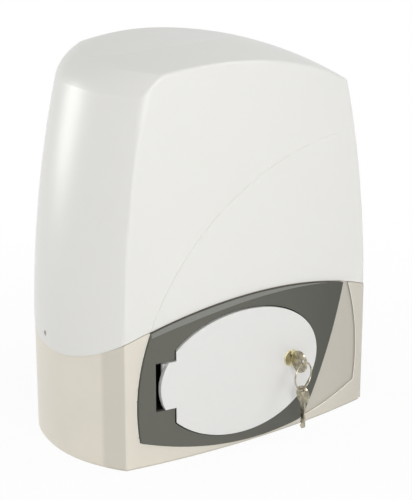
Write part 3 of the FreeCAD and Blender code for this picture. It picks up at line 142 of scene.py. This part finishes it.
class GateMotorFinishes(PropertyGroup):
    cover: colour_setting("Cover", "Moulded cover", (0.925, 0.922, 0.905))
    casting: colour_setting("Casting", "Satin paint on the casting", (0.90, 0.878, 0.825))
    bezel: colour_setting("Facing", "Dark grained front facing", (0.40, 0.40, 0.37))
    # Lighter than the facing: painted light, for the light the strip's bevel catches.
    trim: colour_setting("Trim strip", "Lighter strip along the top of the facing",
                         (0.50, 0.505, 0.48))
    door: colour_setting("Release door", "Oval door", (0.912, 0.91, 0.90))
    brass: colour_setting("Lock", "Pale plated brass of the lock", (0.86, 0.83, 0.69))
    key: colour_setting("Keys", "Nickel-plated keys and ring", (0.73, 0.70, 0.62))
    # A painted highlight: the bead's bright tone stands for the light caught by the raised edge of
    # the sunk panel.
    edge_painted_highlight: colour_setting("Painted edge highlight", "Bright line along the raised edge of the casting",
                              (0.95, 0.945, 0.92))
    steel: colour_setting("Steel", "Zinc-plated screws", (0.80, 0.80, 0.79))
    bronze: colour_setting("Bronze", "Worm wheel", (0.82, 0.66, 0.42))
    aluminium: colour_setting("Aluminium", "Motor body and lid", (0.80, 0.805, 0.81))
    rubber: colour_setting("Rubber", "Seal and grommet", (0.16, 0.16, 0.16))
    board: colour_setting("Board", "Solder mask of the control board", (0.08, 0.36, 0.20))


class GateMotorSizes(PropertyGroup):
    strip_width: FloatProperty(name="Strip width", description="Widest part of the trim strip",
                               default=6.0 * MM, unit="LENGTH", min=1.0 * MM, max=12.0 * MM)
    strip_rise: FloatProperty(name="Strip rise", description="How far the strip stands proud",
                              default=0.5 * MM, unit="LENGTH", min=0.1 * MM, max=2.0 * MM)
    strip_steps: IntProperty(name="Strip steps", description="Pieces along the trim strip",
                             default=72, min=8, max=200)
    edge_radius: FloatProperty(name="Edge radius",
                               description="Radius of the bead on the sunk panel's edge",
                               default=0.45 * MM, unit="LENGTH", min=0.1 * MM, max=1.0 * MM)
    edge_steps: IntProperty(name="Edge steps", description="Pieces along each stretch of the bead",
                            default=40, min=8, max=200)


class GateMotorStage(PropertyGroup):
    view_azimuth: FloatProperty(name="View azimuth", description="Turn of the camera",
                                default=math.radians(-36.3), subtype="ANGLE")
    view_elevation: FloatProperty(name="View elevation", description="Height of the camera",
                                  default=math.radians(18.2), subtype="ANGLE")
    view_distance: FloatProperty(name="View distance", description="Camera to the part",
                                 default=1.62, unit="LENGTH", min=0.5)
    lens: FloatProperty(name="Lens", description="Focal length", default=116.2,
                        unit="CAMERA", min=20.0)
    floor_size: FloatProperty(name="Floor size", description="Width of the floor",
                              default=9.0, unit="LENGTH", min=2.0)
    key_power: power_setting("Main light", "Soft light in front, a little to the left", 25.0)
    side_power: power_setting("Side light", "Soft light low behind the left side", 13.0)
    top_power: power_setting("Top light", "Soft light above, to the right", 8.0)
    sky: FloatProperty(name="Room light", description="Level of the light from all round",
                       default=0.40, min=0.0, max=1.0)
    sky_slope: FloatProperty(name="Room light slope", description="Fall of it from left to right",
                             default=0.34, min=0.0, max=1.0)


# ---------------------------------------------------------------- shader maths
# Places of a Mix node's two colours among its inputs, and of the mixed one among its outputs.
MIX_FIRST, MIX_SECOND, MIX_RESULT = 6, 7, 2


class Value:
    """A socket that can be used in an expression of numbers."""

    def __init__(self, nodes, socket):
        self.nodes = nodes
        self.socket = socket

    def maths(self, operation, *others):
        sockets = dict(enumerate((self, *others)))
        return self.nodes.node("ShaderNodeMath", {"operation": operation}, sockets)["Value"]

    def __add__(self, other):
        return self.maths("ADD", other)

    def __mul__(self, other):
        return self.maths("MULTIPLY", other)

    def __sub__(self, other):
        return self.maths("SUBTRACT", other)

    def __rsub__(self, other):
        return (self * -1.0) + other

    def __truediv__(self, other):
        return self.maths("DIVIDE", other)

    def __pow__(self, other):
        return self.maths("POWER", other)

    def __abs__(self):
        return self.maths("ABSOLUTE")

    def above(self, level, softness):
        """0 below the level and 1 above it, with a soft step of this width."""
        return ((self - level) / softness + 0.5).clamped()

    def clamped(self):
        return self.maths("MAXIMUM", 0.0).maths("MINIMUM", 1.0)


class Outputs:
    """Outputs of a node, as values by name."""

    def __init__(self, nodes, node):
        self.nodes = nodes
        self.node = node

    def __getitem__(self, name):
        return Value(self.nodes, self.node.outputs[name])


class Nodes:
    """A node tree whose every node is made by one method."""

    def __init__(self, tree):
        self.tree = tree
        tree.nodes.clear()

    def node(self, kind, settings=None, sockets=None):
        """A node of this type, with its settings first and then its sockets' values or links."""
        made = self.tree.nodes.new(kind)
        for name, value in (settings or {}).items():
            if name == "stops":
                self.fill_ramp(made.color_ramp, value)
            else:
                setattr(made, name, value)
        for name, value in (sockets or {}).items():
            self.feed(made.inputs[name], value)
        return Outputs(self, made)

    def fill_ramp(self, ramp, stops):
        while len(ramp.elements) < len(stops):
            ramp.elements.new(1.0)
        for element, (place, colour) in zip(ramp.elements, stops):
            element.position = place
            element.color = (*colour, 1.0)

    def feed(self, socket, value):
        if isinstance(value, Value):
            self.tree.links.new(value.socket, socket)
        elif socket.type == "RGBA":
            socket.default_value = (*value[:3], 1.0)
        else:
            socket.default_value = value


class Finish(Nodes):
    """A material in the making: its shader and the nodes that feed it."""

    def __init__(self, name, metallic=0.0, roughness=0.5, specular=0.5):
        self.material = bpy.data.materials.new(name)
        self.material.use_nodes = True
        super().__init__(self.material.node_tree)
        self.principled = self.node("ShaderNodeBsdfPrincipled", None, {
            "Metallic": metallic, "Roughness": roughness, "Specular IOR Level": specular})
        self.shader = self.principled.node
        self.surface = self.node("ShaderNodeOutputMaterial", None,
                                 {"Surface": self.principled["BSDF"]}).node.inputs["Surface"]

    def place(self):
        """Point on the part, in metres, which moves with its piece."""
        return self.node("ShaderNodeTexCoord")["Object"]

    def axes(self):
        parts = self.node("ShaderNodeSeparateXYZ", None, {0: self.place()})
        return parts["X"], parts["Y"], parts["Z"]

    def noise(self, scale, detail=2.0, stretch=None):
        """Even noise about 0.5; scale is in lumps per metre."""
        where = self.place()
        if stretch:
            where = self.node("ShaderNodeVectorMath", {"operation": "MULTIPLY"},
                              {0: where, 1: stretch})["Vector"]
        return self.node("ShaderNodeTexNoise", None,
                         {"Vector": where, "Scale": scale, "Detail": detail})["Fac"]

    def cells(self, scale, **settings):
        """Cell pattern; scale is in cells per metre."""
        return self.node("ShaderNodeTexVoronoi", settings, {"Vector": self.place(), "Scale": scale})

    def mix(self, factor, first, second):
        """Colour between two, by a factor from 0 to 1."""
        return self.node("ShaderNodeMix", {"data_type": "RGBA"}, {
            "Factor": factor, MIX_FIRST: first, MIX_SECOND: second})[MIX_RESULT]

    def colour(self, value):
        self.feed(self.shader.inputs["Base Color"], value)

    def roughness(self, value):
        self.feed(self.shader.inputs["Roughness"], value)

    def metallic(self, value):
        self.feed(self.shader.inputs["Metallic"], value)

    def bump(self, height, distance):
        made = self.node("ShaderNodeBump", None, {"Height": height, "Distance": distance})
        self.feed(self.shader.inputs["Normal"], made["Normal"])

    def moulded_surface(self, roughness, grain, depth):
        """Slight gloss changes and a fine grain."""
        self.roughness(self.noise(38.0, 3.0) * 0.12 + (roughness - 0.06))
        self.bump(self.noise(grain, 3.0) + self.noise(grain * 0.3, 2.0) * 0.8, depth)

    def flow_marks(self, tone, mottle):
        """Faint streaks that the plastic leaves as it fills its mould."""
        flow = self.noise(9.0, 3.0, (1.0, 1.0, 0.45))
        return self.mix(flow, shade(tone, 1.0 - mottle), shade(tone, 1.0 + mottle))


def seen_directly(nodes):
    """1 for what the camera, a mirror or glass sees, and 0 for what only gives light."""
    path = nodes.node("ShaderNodeLightPath")
    seen = path["Is Camera Ray"].maths("MAXIMUM", path["Is Glossy Ray"])
    return seen.maths("MAXIMUM", path["Is Transmission Ray"])


def rightwards(x, half_width):
    """0 at the left end and 1 at the right end of a piece of this half width."""
    return ((x / half_width) * 0.5 + 0.5).clamped()


def behind_front(x, y, depth):
    """1 where a surface lies more than this far behind the casting's bowed front."""
    deep = y - FRONT_CENTRE_Y
    reach = (x * x + deep * deep) ** 0.5
    return 1.0 - reach.above(FRONT_RADIUS - depth, 0.3 * MM)


def ring_waves(length, pitch):
    """Waves from 0 to 1, one to each pitch of this length."""
    return (length * (math.tau / pitch)).maths("SINE") * 0.5 + 0.5


# ---------------------------------------------------------------- finishes
def moulded(name, tone, roughness, grain=2200.0, depth=0.02 * MM, mottle=0.03):
    """Injection-moulded plastic: fine surface grain, faint flow marks, slight gloss changes."""
    made = Finish(name, roughness=roughness)
    made.colour(made.flow_marks(tone, mottle))
    made.moulded_surface(roughness, grain, depth)
    return made.material


def facing_plastic(tone):
    """Dark grained facing with painted shade: a little deeper towards the right, where less light
    falls, and black down in its wells, where shade falls.
    """
    made = Finish("facing_plastic", roughness=0.5, specular=0.3)
    x, y, _ = made.axes()
    # Painted shade: the tone darkens towards the right and goes near black in the wells behind the
    # front.
    right = rightwards(x, FACING_HALF_WIDTH)
    face = made.mix(right * right, made.flow_marks(tone, 0.05), shade(tone, 0.54))
    made.colour(made.mix(behind_front(x, y, 1.6 * MM), face, shade(tone, 0.10)))
    made.moulded_surface(0.5, 1700.0, 0.05 * MM)
    return made.material


def die_cast(name, tone, metallic, painted_shade_right_grey_panel=False):
    """Die casting: cloudy gloss and soft pitting; optionally with painted shade darkening it
    towards the right, and a greyer sunk panel.
    """
    made = Finish(name, metallic=metallic)
    cloud = made.noise(26.0, 5.0)
    speck = made.noise(900.0, 3.0)
    coat = made.mix((cloud * 0.75 + speck * 0.25).clamped(), shade(tone, 0.93), shade(tone, 1.05))
    if painted_shade_right_grey_panel:
        x, y, _ = made.axes()
        # Painted shade: darker towards the right, as if less light falls there; the sunk panel is
        # also greyer.
        right = rightwards(x, HALF_WIDTH)
        outside = 1.0 - y.above(PANEL_BACK_Y, 4.0 * MM)
        panel = behind_front(x, y, 0.6 * MM) * outside
        coat = made.mix((right * right * 0.62 + panel * 0.5).clamped(), coat, shade(tone, 0.70))
    made.colour(coat)
    made.roughness(cloud * 0.22 + speck * 0.06 + 0.27)
    made.bump(made.noise(620.0, 3.0) + cloud * 1.5, 0.05 * MM)
    return made.material


def plated(name, tone, roughness, metallic=1.0, streak=(60.0, 60.0, 1400.0), tarnish=0.12,
           clouds=140.0):
    """Plated or ground metal: fine streaks one way, with clouded tarnish."""
    made = Finish(name, metallic=metallic)
    cloud = made.noise(clouds, 3.0)
    lines = made.noise(1.0, 3.0, streak)
    patch = ((cloud - 0.5) * 2.4 + 0.5).clamped()
    made.colour(made.mix(patch, shade(tone, 1.0 - 2.0 * tarnish), shade(tone, 1.0 + tarnish)))
    made.roughness(cloud * 0.16 + lines * 0.12 + (roughness - 0.14))
    made.bump(lines, 0.006 * MM)
    return made.material


def turned(name, tone, roughness, centre, axis, pitch=0.35 * MM):
    """Metal turned about its Y or Z axis: fine rings round it and a clouded tone."""
    made = Finish(name, metallic=1.0)
    x, y, z = made.axes()
    along, other, middle = (y, z, centre.z) if axis == "Y" else (z, y, centre.y)
    aside, apart = x - centre.x, other - middle
    reach = (aside * aside + apart * apart) ** 0.5
    rings = ring_waves(reach + along, pitch)
    cloud = made.noise(120.0, 3.0)
    made.colour(made.mix(cloud, shade(tone, 0.84), shade(tone, 1.05)))
    made.roughness(cloud * 0.14 + rings * 0.08 + (roughness - 0.1))
    made.bump(rings, 0.008 * MM)
    return made.material


def stacked_sheets(name, tone, tape=None, tape_reach=0.0):
    """Laminated core with its sheets showing, and taped winding past tape_reach from y = 0."""
    made = Finish(name, metallic=0.55)
    _, y, z = made.axes()
    lines = ring_waves(z, 0.65 * MM) ** 3.0
    rust = made.noise(190.0, 4.0)
    core = made.mix(rust, shade(tone, 0.75), shade(tone, 1.2))
    core = made.mix(lines * 0.6, core, shade(tone, 0.35))
    if tape:
        wound = abs(y).above(tape_reach, 0.4 * MM)
        core = made.mix(wound, core, tape)
        made.metallic((1.0 - wound) * 0.55)
    made.colour(core)
    made.roughness(rust * 0.2 + 0.38)
    made.bump(lines, 0.06 * MM)
    return made.material


def circuit_board(name, mask):
    """Solder mask with copper tracks and pads; what stands off the board is black or blue."""
    made = Finish(name)
    tracks = made.cells(120.0, distance="MANHATTAN")["Distance"].above(0.42, 0.08)
    pads = (1.0 - made.cells(420.0)["Distance"].above(0.22, 0.05)) * tracks
    field = made.mix(tracks * 0.55, mask, shade(mask, 1.9))
    field = made.mix(pads, field, linear(0.80, 0.79, 0.74))
    kinds = made.node("ShaderNodeSeparateColor", None, {0: made.cells(34.0)["Color"]})["Red"]
    parts = made.node("ShaderNodeValToRGB", {"stops": [
        (0.0, linear(0.09, 0.09, 0.10)), (0.62, linear(0.13, 0.13, 0.14)),
        (0.66, linear(0.16, 0.30, 0.55)), (1.0, linear(0.20, 0.36, 0.62))]},
        {"Fac": kinds})["Color"]
    raised = made.axes()[0].above(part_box("control_board")[0].x + 8.6 * MM, 0.3 * MM)
    made.colour(made.mix(raised, field, parts))
    made.roughness(made.noise(400.0, 2.0) * 0.2 + 0.28)
    made.bump(tracks * (1.0 - raised), 0.04 * MM)
    return made.material


def wear(nodes, material):
    """Puts a material on every slot of these CAD nodes."""
    for name in nodes:
        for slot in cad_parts[name].material_slots:
            slot.material = material


# ---------------------------------------------------------------- mesh helpers
def skinned_mesh(name, rows, smooth=False):
    """Closed mesh over rows of points, each row one section of the piece."""
    made = bmesh.new()
    rings = [[made.verts.new(point) for point in row] for row in rows]
    for near, far in zip(rings, rings[1:]):
        for k in range(len(near)):
            after = (k + 1) % len(near)
            made.faces.new((near[k], near[after], far[after], far[k]))
    made.faces.new(rings[0])
    made.faces.new(reversed(rings[-1]))
    bmesh.ops.recalc_face_normals(made, faces=made.faces)
    for face in made.faces:
        face.smooth = smooth
    mesh = bpy.data.meshes.new(name)
    made.to_mesh(mesh)
    made.free()
    return mesh


def housing_trim(name, mesh, material):
    """A trim piece that rides the housing and counts under this slot."""
    piece = bpy.data.objects.new(name, mesh)
    bpy.context.scene.collection.objects.link(piece)
    mesh.materials.append(material)
    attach(piece, "housing")


def strip_width(x, widest):
    """Width of the trim strip at x: wide at the left, running out at the right."""
    left = FACING_LOW.x + 15.0 * MM
    grown = min(1.0, 0.75 + (x - left) / (40.0 * MM) * 0.25)
    fade = 1.0 - max(0.0, (x + 60.0 * MM) / (150.0 * MM)) ** 1.35
    return widest * max(0.0, min(grown, fade))


def trim_strip_mesh(width, rise, steps):
    """Bevelled strip along the top of the facing: it leans back towards the cover."""
    rows = []
    for i in range(steps + 1):
        x = STRIP_LEFT + (STRIP_RIGHT - STRIP_LEFT) * i / steps
        high = arch_z(x) - STRIP_GAP
        low = high - max(strip_width(x, width), STRIP_LEAST)
        ridge = low + 0.3 * MM if high - low > 0.6 * MM else (low + high) / 2
        section = ((-STRIP_SUNK, low), (rise * 0.8, low + 0.05 * MM), (rise, ridge),
                   (0.12 * MM, high), (-STRIP_SUNK, high))
        rows.append([(x, front_y(x, proud), z) for proud, z in section])
    return skinned_mesh("facing_trim_strip", rows)


def panel_edge_path(side, steps):
    """Points (x, z) along the raised edge of the sunk panel: down its side, then inwards."""
    top_z = arch_z(PANEL_TOP_X) - 1.0 * MM
    rise = PANEL_CORNER_Z - PANEL_LOW_Z
    radius = (PANEL_CORNER_X ** 2 + rise ** 2) / (2 * rise)
    points = []
    for i in range(steps + 1):
        t = i / steps
        x = (2 * (t - 0.5) * (t - 1) * PANEL_TOP_X + 4 * t * (1 - t) * PANEL_MIDDLE_X
             + 2 * t * (t - 0.5) * PANEL_CORNER_X)
        points.append((side * x, top_z + (PANEL_CORNER_Z - top_z) * t))
    for i in range(1, steps + 1):
        x = PANEL_CORNER_X + (EDGE_END_X - PANEL_CORNER_X) * i / steps
        points.append((side * x, PANEL_LOW_Z + radius - math.sqrt(radius ** 2 - x ** 2)))
    return points


def bead_mesh(name, path, radius):
    """Low rounded bead along a path of (x, z) on the casting's bowed front."""
    rise = radius * 0.8
    seat = 0.05 * MM - FACING_PROUD
    sides = 6
    rows = []
    for i, (x, z) in enumerate(path):
        before, after = path[max(i - 1, 0)], path[min(i + 1, len(path) - 1)]
        run = Vector((after[0] - before[0], after[1] - before[1])).normalized()
        across = Vector((-run.y, run.x)) * radius
        row = []
        for k in range(sides + 1):
            turn = math.pi * k / sides
            out = across * math.cos(turn)
            row.append((x + out.x, front_y(x + out.x, seat + math.sin(turn) * rise), z + out.y))
        rows.append(row)
    return skinned_mesh(name, rows, smooth=True)


# ---------------------------------------------------------------- operators
class GATEMOTOR_OT_casting(Operator):
    """Satin paint on the casting, with painted shade towards its right, its lid, screws, seals and
    a bead of painted highlight along the edge of its panel
    """
    bl_idname = "gatemotor.casting"
    bl_label = "Casting"

    def execute(self, context):
        tones = context.scene.gate_motor_finishes
        sizes = context.scene.gate_motor_sizes
        wear(["gearbox_casting"], die_cast("casting_paint", tones.casting, 0.2, painted_shade_right_grey_panel=True))
        wear(["gearbox_lid"], die_cast("lid_cast", tones.aluminium, 0.8))
        # The bead along the panel's edge carries a painted highlight in its bright tone.
        edge = plated("worn_casting_edge", tones.edge_painted_highlight, 0.3, metallic=0.3, tarnish=0.03)
        for side, hand in ((-1, "left"), (1, "right")):
            name = "panel_edge_" + hand
            path = panel_edge_path(side, sizes.edge_steps)
            housing_trim(name, bead_mesh(name, path, sizes.edge_radius), edge)
        wear(["levelling_screws", "lid_screws", "bezel_screws", "cover_screws", "motor_screws",
              "door_striker", "lock_nut", "capacitor_clip"],
             plated("zinc_plate", tones.steel, 0.34))
        wear(["cable_grommet", "shaft_seal"],
             moulded("black_rubber", tones.rubber, 0.62, grain=900.0, depth=0.03 * MM))
        return {"FINISHED"}


class GATEMOTOR_OT_cover(Operator):
    """Smooth satin moulding of the cover"""
    bl_idname = "gatemotor.cover"
    bl_label = "Cover"

    def execute(self, context):
        tones = context.scene.gate_motor_finishes
        wear(["cover_shell"], moulded("cover_plastic", tones.cover, 0.33, grain=1500.0,
                                      depth=0.008 * MM, mottle=0.012))
        return {"FINISHED"}


class GATEMOTOR_OT_front(Operator):
    """Dark grained facing with painted shade, its trim strip in a lighter tone of painted light,
    and the oval release door
    """
    bl_idname = "gatemotor.front"
    bl_label = "Facing and door"

    def execute(self, context):
        tones = context.scene.gate_motor_finishes
        sizes = context.scene.gate_motor_sizes
        wear(["front_bezel"], facing_plastic(tones.bezel))
        wear(["release_door"], moulded("door_plastic", tones.door, 0.38, grain=1500.0,
                                       depth=0.008 * MM, mottle=0.012))
        wear(["door_hinge_pin"], plated("hinge_pin_steel", tones.steel, 0.3))
        strip = trim_strip_mesh(sizes.strip_width, sizes.strip_rise, sizes.strip_steps)
        # The strip's lighter tone is painted light for its bevel.
        housing_trim("facing_trim_strip", strip,
                     moulded("trim_plastic", tones.trim, 0.42, grain=1700.0))
        return {"FINISHED"}


class GATEMOTOR_OT_lock(Operator):
    """Cam lock in plated brass with its keys and ring"""
    bl_idname = "gatemotor.lock"
    bl_label = "Lock and keys"

    def execute(self, context):
        tones = context.scene.gate_motor_finishes
        wear(["lock_housing", "lock_plug"],
             turned("lock_plating", tones.brass, 0.28, middle_of("lock_housing"), "Y", 0.5 * MM))
        wear(["lock_cam"], plated("cam_steel", tones.steel, 0.32, streak=(1400.0, 60.0, 60.0)))
        wear(["door_key", "spare_key", "key_ring"],
             plated("key_nickel", tones.key, 0.24, streak=(60.0, 900.0, 900.0), tarnish=0.3,
                    clouds=260.0))
        return {"FINISHED"}


class GATEMOTOR_OT_drive(Operator):
    """Shafts, gears, bearings and the release knob"""
    bl_idname = "gatemotor.drive"
    bl_label = "Drive train"

    def execute(self, context):
        tones = context.scene.gate_motor_finishes
        shaft = middle_of("output_shaft")
        worm = middle_of("worm_shaft")
        steel = shade(tones.steel, 0.82)
        wear(["output_shaft", "shaft_key", "clutch_dog", "pinion_screw"],
             turned("ground_shaft", steel, 0.26, shaft, "Y"))
        wear(["drive_pinion"],
             turned("pinion_steel", shade(steel, 0.8), 0.34, shaft, "Y", 0.6 * MM))
        wear(["front_bearing", "rear_bearing"],
             turned("bearing_race", tones.steel, 0.2, shaft, "Y"))
        wear(["worm_wheel"], turned("wheel_bronze", tones.bronze, 0.32, shaft, "Y", 0.5 * MM))
        wear(["worm_shaft"], turned("worm_steel", steel, 0.24, worm, "Z"))
        wear(["worm_bearing", "motor_bearings"],
             turned("worm_race", tones.steel, 0.2, worm, "Z"))
        wear(["release_knob"],
             moulded("knob_plastic", linear(0.17, 0.17, 0.18), 0.5, depth=0.05 * MM))
        wear(["knob_bush"], moulded("bush_acetal", linear(0.86, 0.85, 0.80), 0.42))
        return {"FINISHED"}


class GATEMOTOR_OT_motor(Operator):
    """Motor body, end cap, stator and rotor"""
    bl_idname = "gatemotor.motor"
    bl_label = "Motor"

    def execute(self, context):
        tones = context.scene.gate_motor_finishes
        wear(["motor_housing", "motor_end_cap"], die_cast("motor_cast", tones.aluminium, 0.85))
        wear(["motor_stator", "rotor_core"],
             stacked_sheets("core_sheets", linear(0.42, 0.42, 0.43)))
        return {"FINISHED"}


class GATEMOTOR_OT_electrics(Operator):
    """Control board, transformer, capacitor and the limit switch"""
    bl_idname = "gatemotor.electrics"
    bl_label = "Electrics"

    def execute(self, context):
        tones = context.scene.gate_motor_finishes
        wear(["control_board"], circuit_board("board_mask", tones.board))
        wear(["board_holder"],
             moulded("holder_plastic", linear(0.26, 0.26, 0.27), 0.5, depth=0.04 * MM))
        wear(["terminal_block"], moulded("terminal_plastic", linear(0.24, 0.50, 0.32), 0.4))
        wear(["program_button"], moulded("button_plastic", linear(0.12, 0.12, 0.12), 0.4))
        wear(["transformer"],
             stacked_sheets("transformer_sheets", linear(0.30, 0.28, 0.26),
                            tape=linear(0.86, 0.74, 0.36), tape_reach=11.2 * MM))
        wear(["run_capacitor"], moulded("capacitor_can", linear(0.88, 0.88, 0.86), 0.36))
        wear(["limit_switch"], moulded("switch_plastic", linear(0.14, 0.14, 0.15), 0.46))
        wear(["limit_lever"],
             plated("lever_steel", tones.steel, 0.24, streak=(60.0, 1600.0, 60.0)))
        return {"FINISHED"}


class GATEMOTOR_OT_stage(Operator):
    """Pale floor, soft lights, white surroundings and the camera"""
    bl_idname = "gatemotor.stage"
    bl_label = "Stage"

    def execute(self, context):
        stage = context.scene.gate_motor_stage
        self.make_floor(context, stage)
        self.make_room(context, stage)
        for name, place, size, setting in LAMPS:
            lamp = bpy.data.lights.new(name, "AREA")
            lamp.shape = "DISK"
            lamp.size = size
            lamp.energy = getattr(stage, setting)
            self.aimed(context, name, lamp, place, CENTRE)
        self.make_camera(context, stage)
        context.scene.view_settings.view_transform = "Standard"
        return {"FINISHED"}

    def aimed(self, context, name, data, place, target):
        """A lamp or camera put in its place and turned to look at the target."""
        holder = bpy.data.objects.new(name, data)
        holder.location = place
        holder.rotation_euler = (target - place).to_track_quat("-Z", "Y").to_euler()
        context.scene.collection.objects.link(holder)
        return holder

    def make_floor(self, context, stage):
        half = stage.floor_size / 2
        made = bmesh.new()
        corners = [made.verts.new((x, y, CAD_BOX[0].z - FLOOR_DROP))
                   for x, y in ((-half, -half), (half, -half), (half, half), (-half, half))]
        made.faces.new(corners)
        mesh = bpy.data.meshes.new("studio_floor")
        made.to_mesh(mesh)
        made.free()
        mesh.materials.append(self.floor_white())
        floor = bpy.data.objects.new("studio_floor", mesh)
        context.scene.collection.objects.link(floor)

    def floor_white(self):
        """Matt white that takes a faint shadow; it is seen as plain white further out."""
        pale = Finish("floor_white", roughness=0.9, specular=0.0)
        pale.colour((0.9, 0.9, 0.9))
        x, y, _ = pale.axes()
        far = ((x * x + y * y) ** 0.5).above(FLOOR_TURN, FLOOR_BLEND)
        share = far * (FLOOR_WHITE_FAR - FLOOR_WHITE_NEAR) + FLOOR_WHITE_NEAR
        white = pale.node("ShaderNodeEmission", None, {"Color": (1.0, 1.0, 1.0), "Strength": 1.0})
        joined = pale.node("ShaderNodeMixShader", None, {
            0: seen_directly(pale) * share, 1: pale.principled["BSDF"], 2: white["Emission"]})
        pale.feed(pale.surface, joined["Shader"])
        return pale.material

    def make_room(self, context, stage):
        """White to look at, and a softer light that falls off towards the right."""
        world = bpy.data.worlds.new("white_room")
        world.use_nodes = True
        room = Nodes(world.node_tree)
        seen = seen_directly(room)
        facing = room.node("ShaderNodeTexCoord")["Generated"]
        across = room.node("ShaderNodeSeparateXYZ", None, {0: facing})["X"]
        fill = (1.0 - across * stage.sky_slope) * stage.sky
        back = room.node("ShaderNodeBackground", None, {
            "Color": (1.0, 1.0, 1.0), "Strength": seen + (1.0 - seen) * fill})
        room.node("ShaderNodeOutputWorld", None, {"Surface": back["Background"]})
        context.scene.world = world

    def make_camera(self, context, stage):
        flat = math.cos(stage.view_elevation) * stage.view_distance
        place = CAMERA_TARGET + Vector((flat * math.sin(stage.view_azimuth),
                                        -flat * math.cos(stage.view_azimuth),
                                        math.sin(stage.view_elevation) * stage.view_distance))
        camera = bpy.data.cameras.new("catalogue_camera")
        camera.sensor_width = SENSOR_WIDTH
        camera.lens = stage.lens
        context.scene.camera = self.aimed(context, "catalogue_camera", camera, place,
                                          CAMERA_TARGET)


STEPS = (
    GATEMOTOR_OT_casting,
    GATEMOTOR_OT_cover,
    GATEMOTOR_OT_front,
    GATEMOTOR_OT_lock,
    GATEMOTOR_OT_drive,
    GATEMOTOR_OT_motor,
    GATEMOTOR_OT_electrics,
    GATEMOTOR_OT_stage,
)


class GATEMOTOR_PT_sidebar(Panel):
    """Steps that dress the gate motor"""
    bl_idname = "GATEMOTOR_PT_sidebar"
    bl_label = "Gate motor"
    bl_space_type = "VIEW_3D"
    bl_region_type = "UI"
    bl_category = "Gate motor"

    def draw(self, context):
        for step in STEPS:
            self.layout.operator(step.bl_idname)


CLASSES = (GateMotorFinishes, GateMotorSizes, GateMotorStage, *STEPS, GATEMOTOR_PT_sidebar)


def register():
    for made in CLASSES:
        bpy.utils.register_class(made)
    bpy.types.Scene.gate_motor_finishes = PointerProperty(type=GateMotorFinishes)
    bpy.types.Scene.gate_motor_sizes = PointerProperty(type=GateMotorSizes)
    bpy.types.Scene.gate_motor_stage = PointerProperty(type=GateMotorStage)


def unregister():
    del bpy.types.Scene.gate_motor_stage
    del bpy.types.Scene.gate_motor_sizes
    del bpy.types.Scene.gate_motor_finishes
    for made in reversed(CLASSES):
        bpy.utils.unregister_class(made)


def main():
    register()
    for step in STEPS:
        group, name = step.bl_idname.split(".")
        getattr(getattr(bpy.ops, group), name)()


if __name__ == "__main__":
    main()
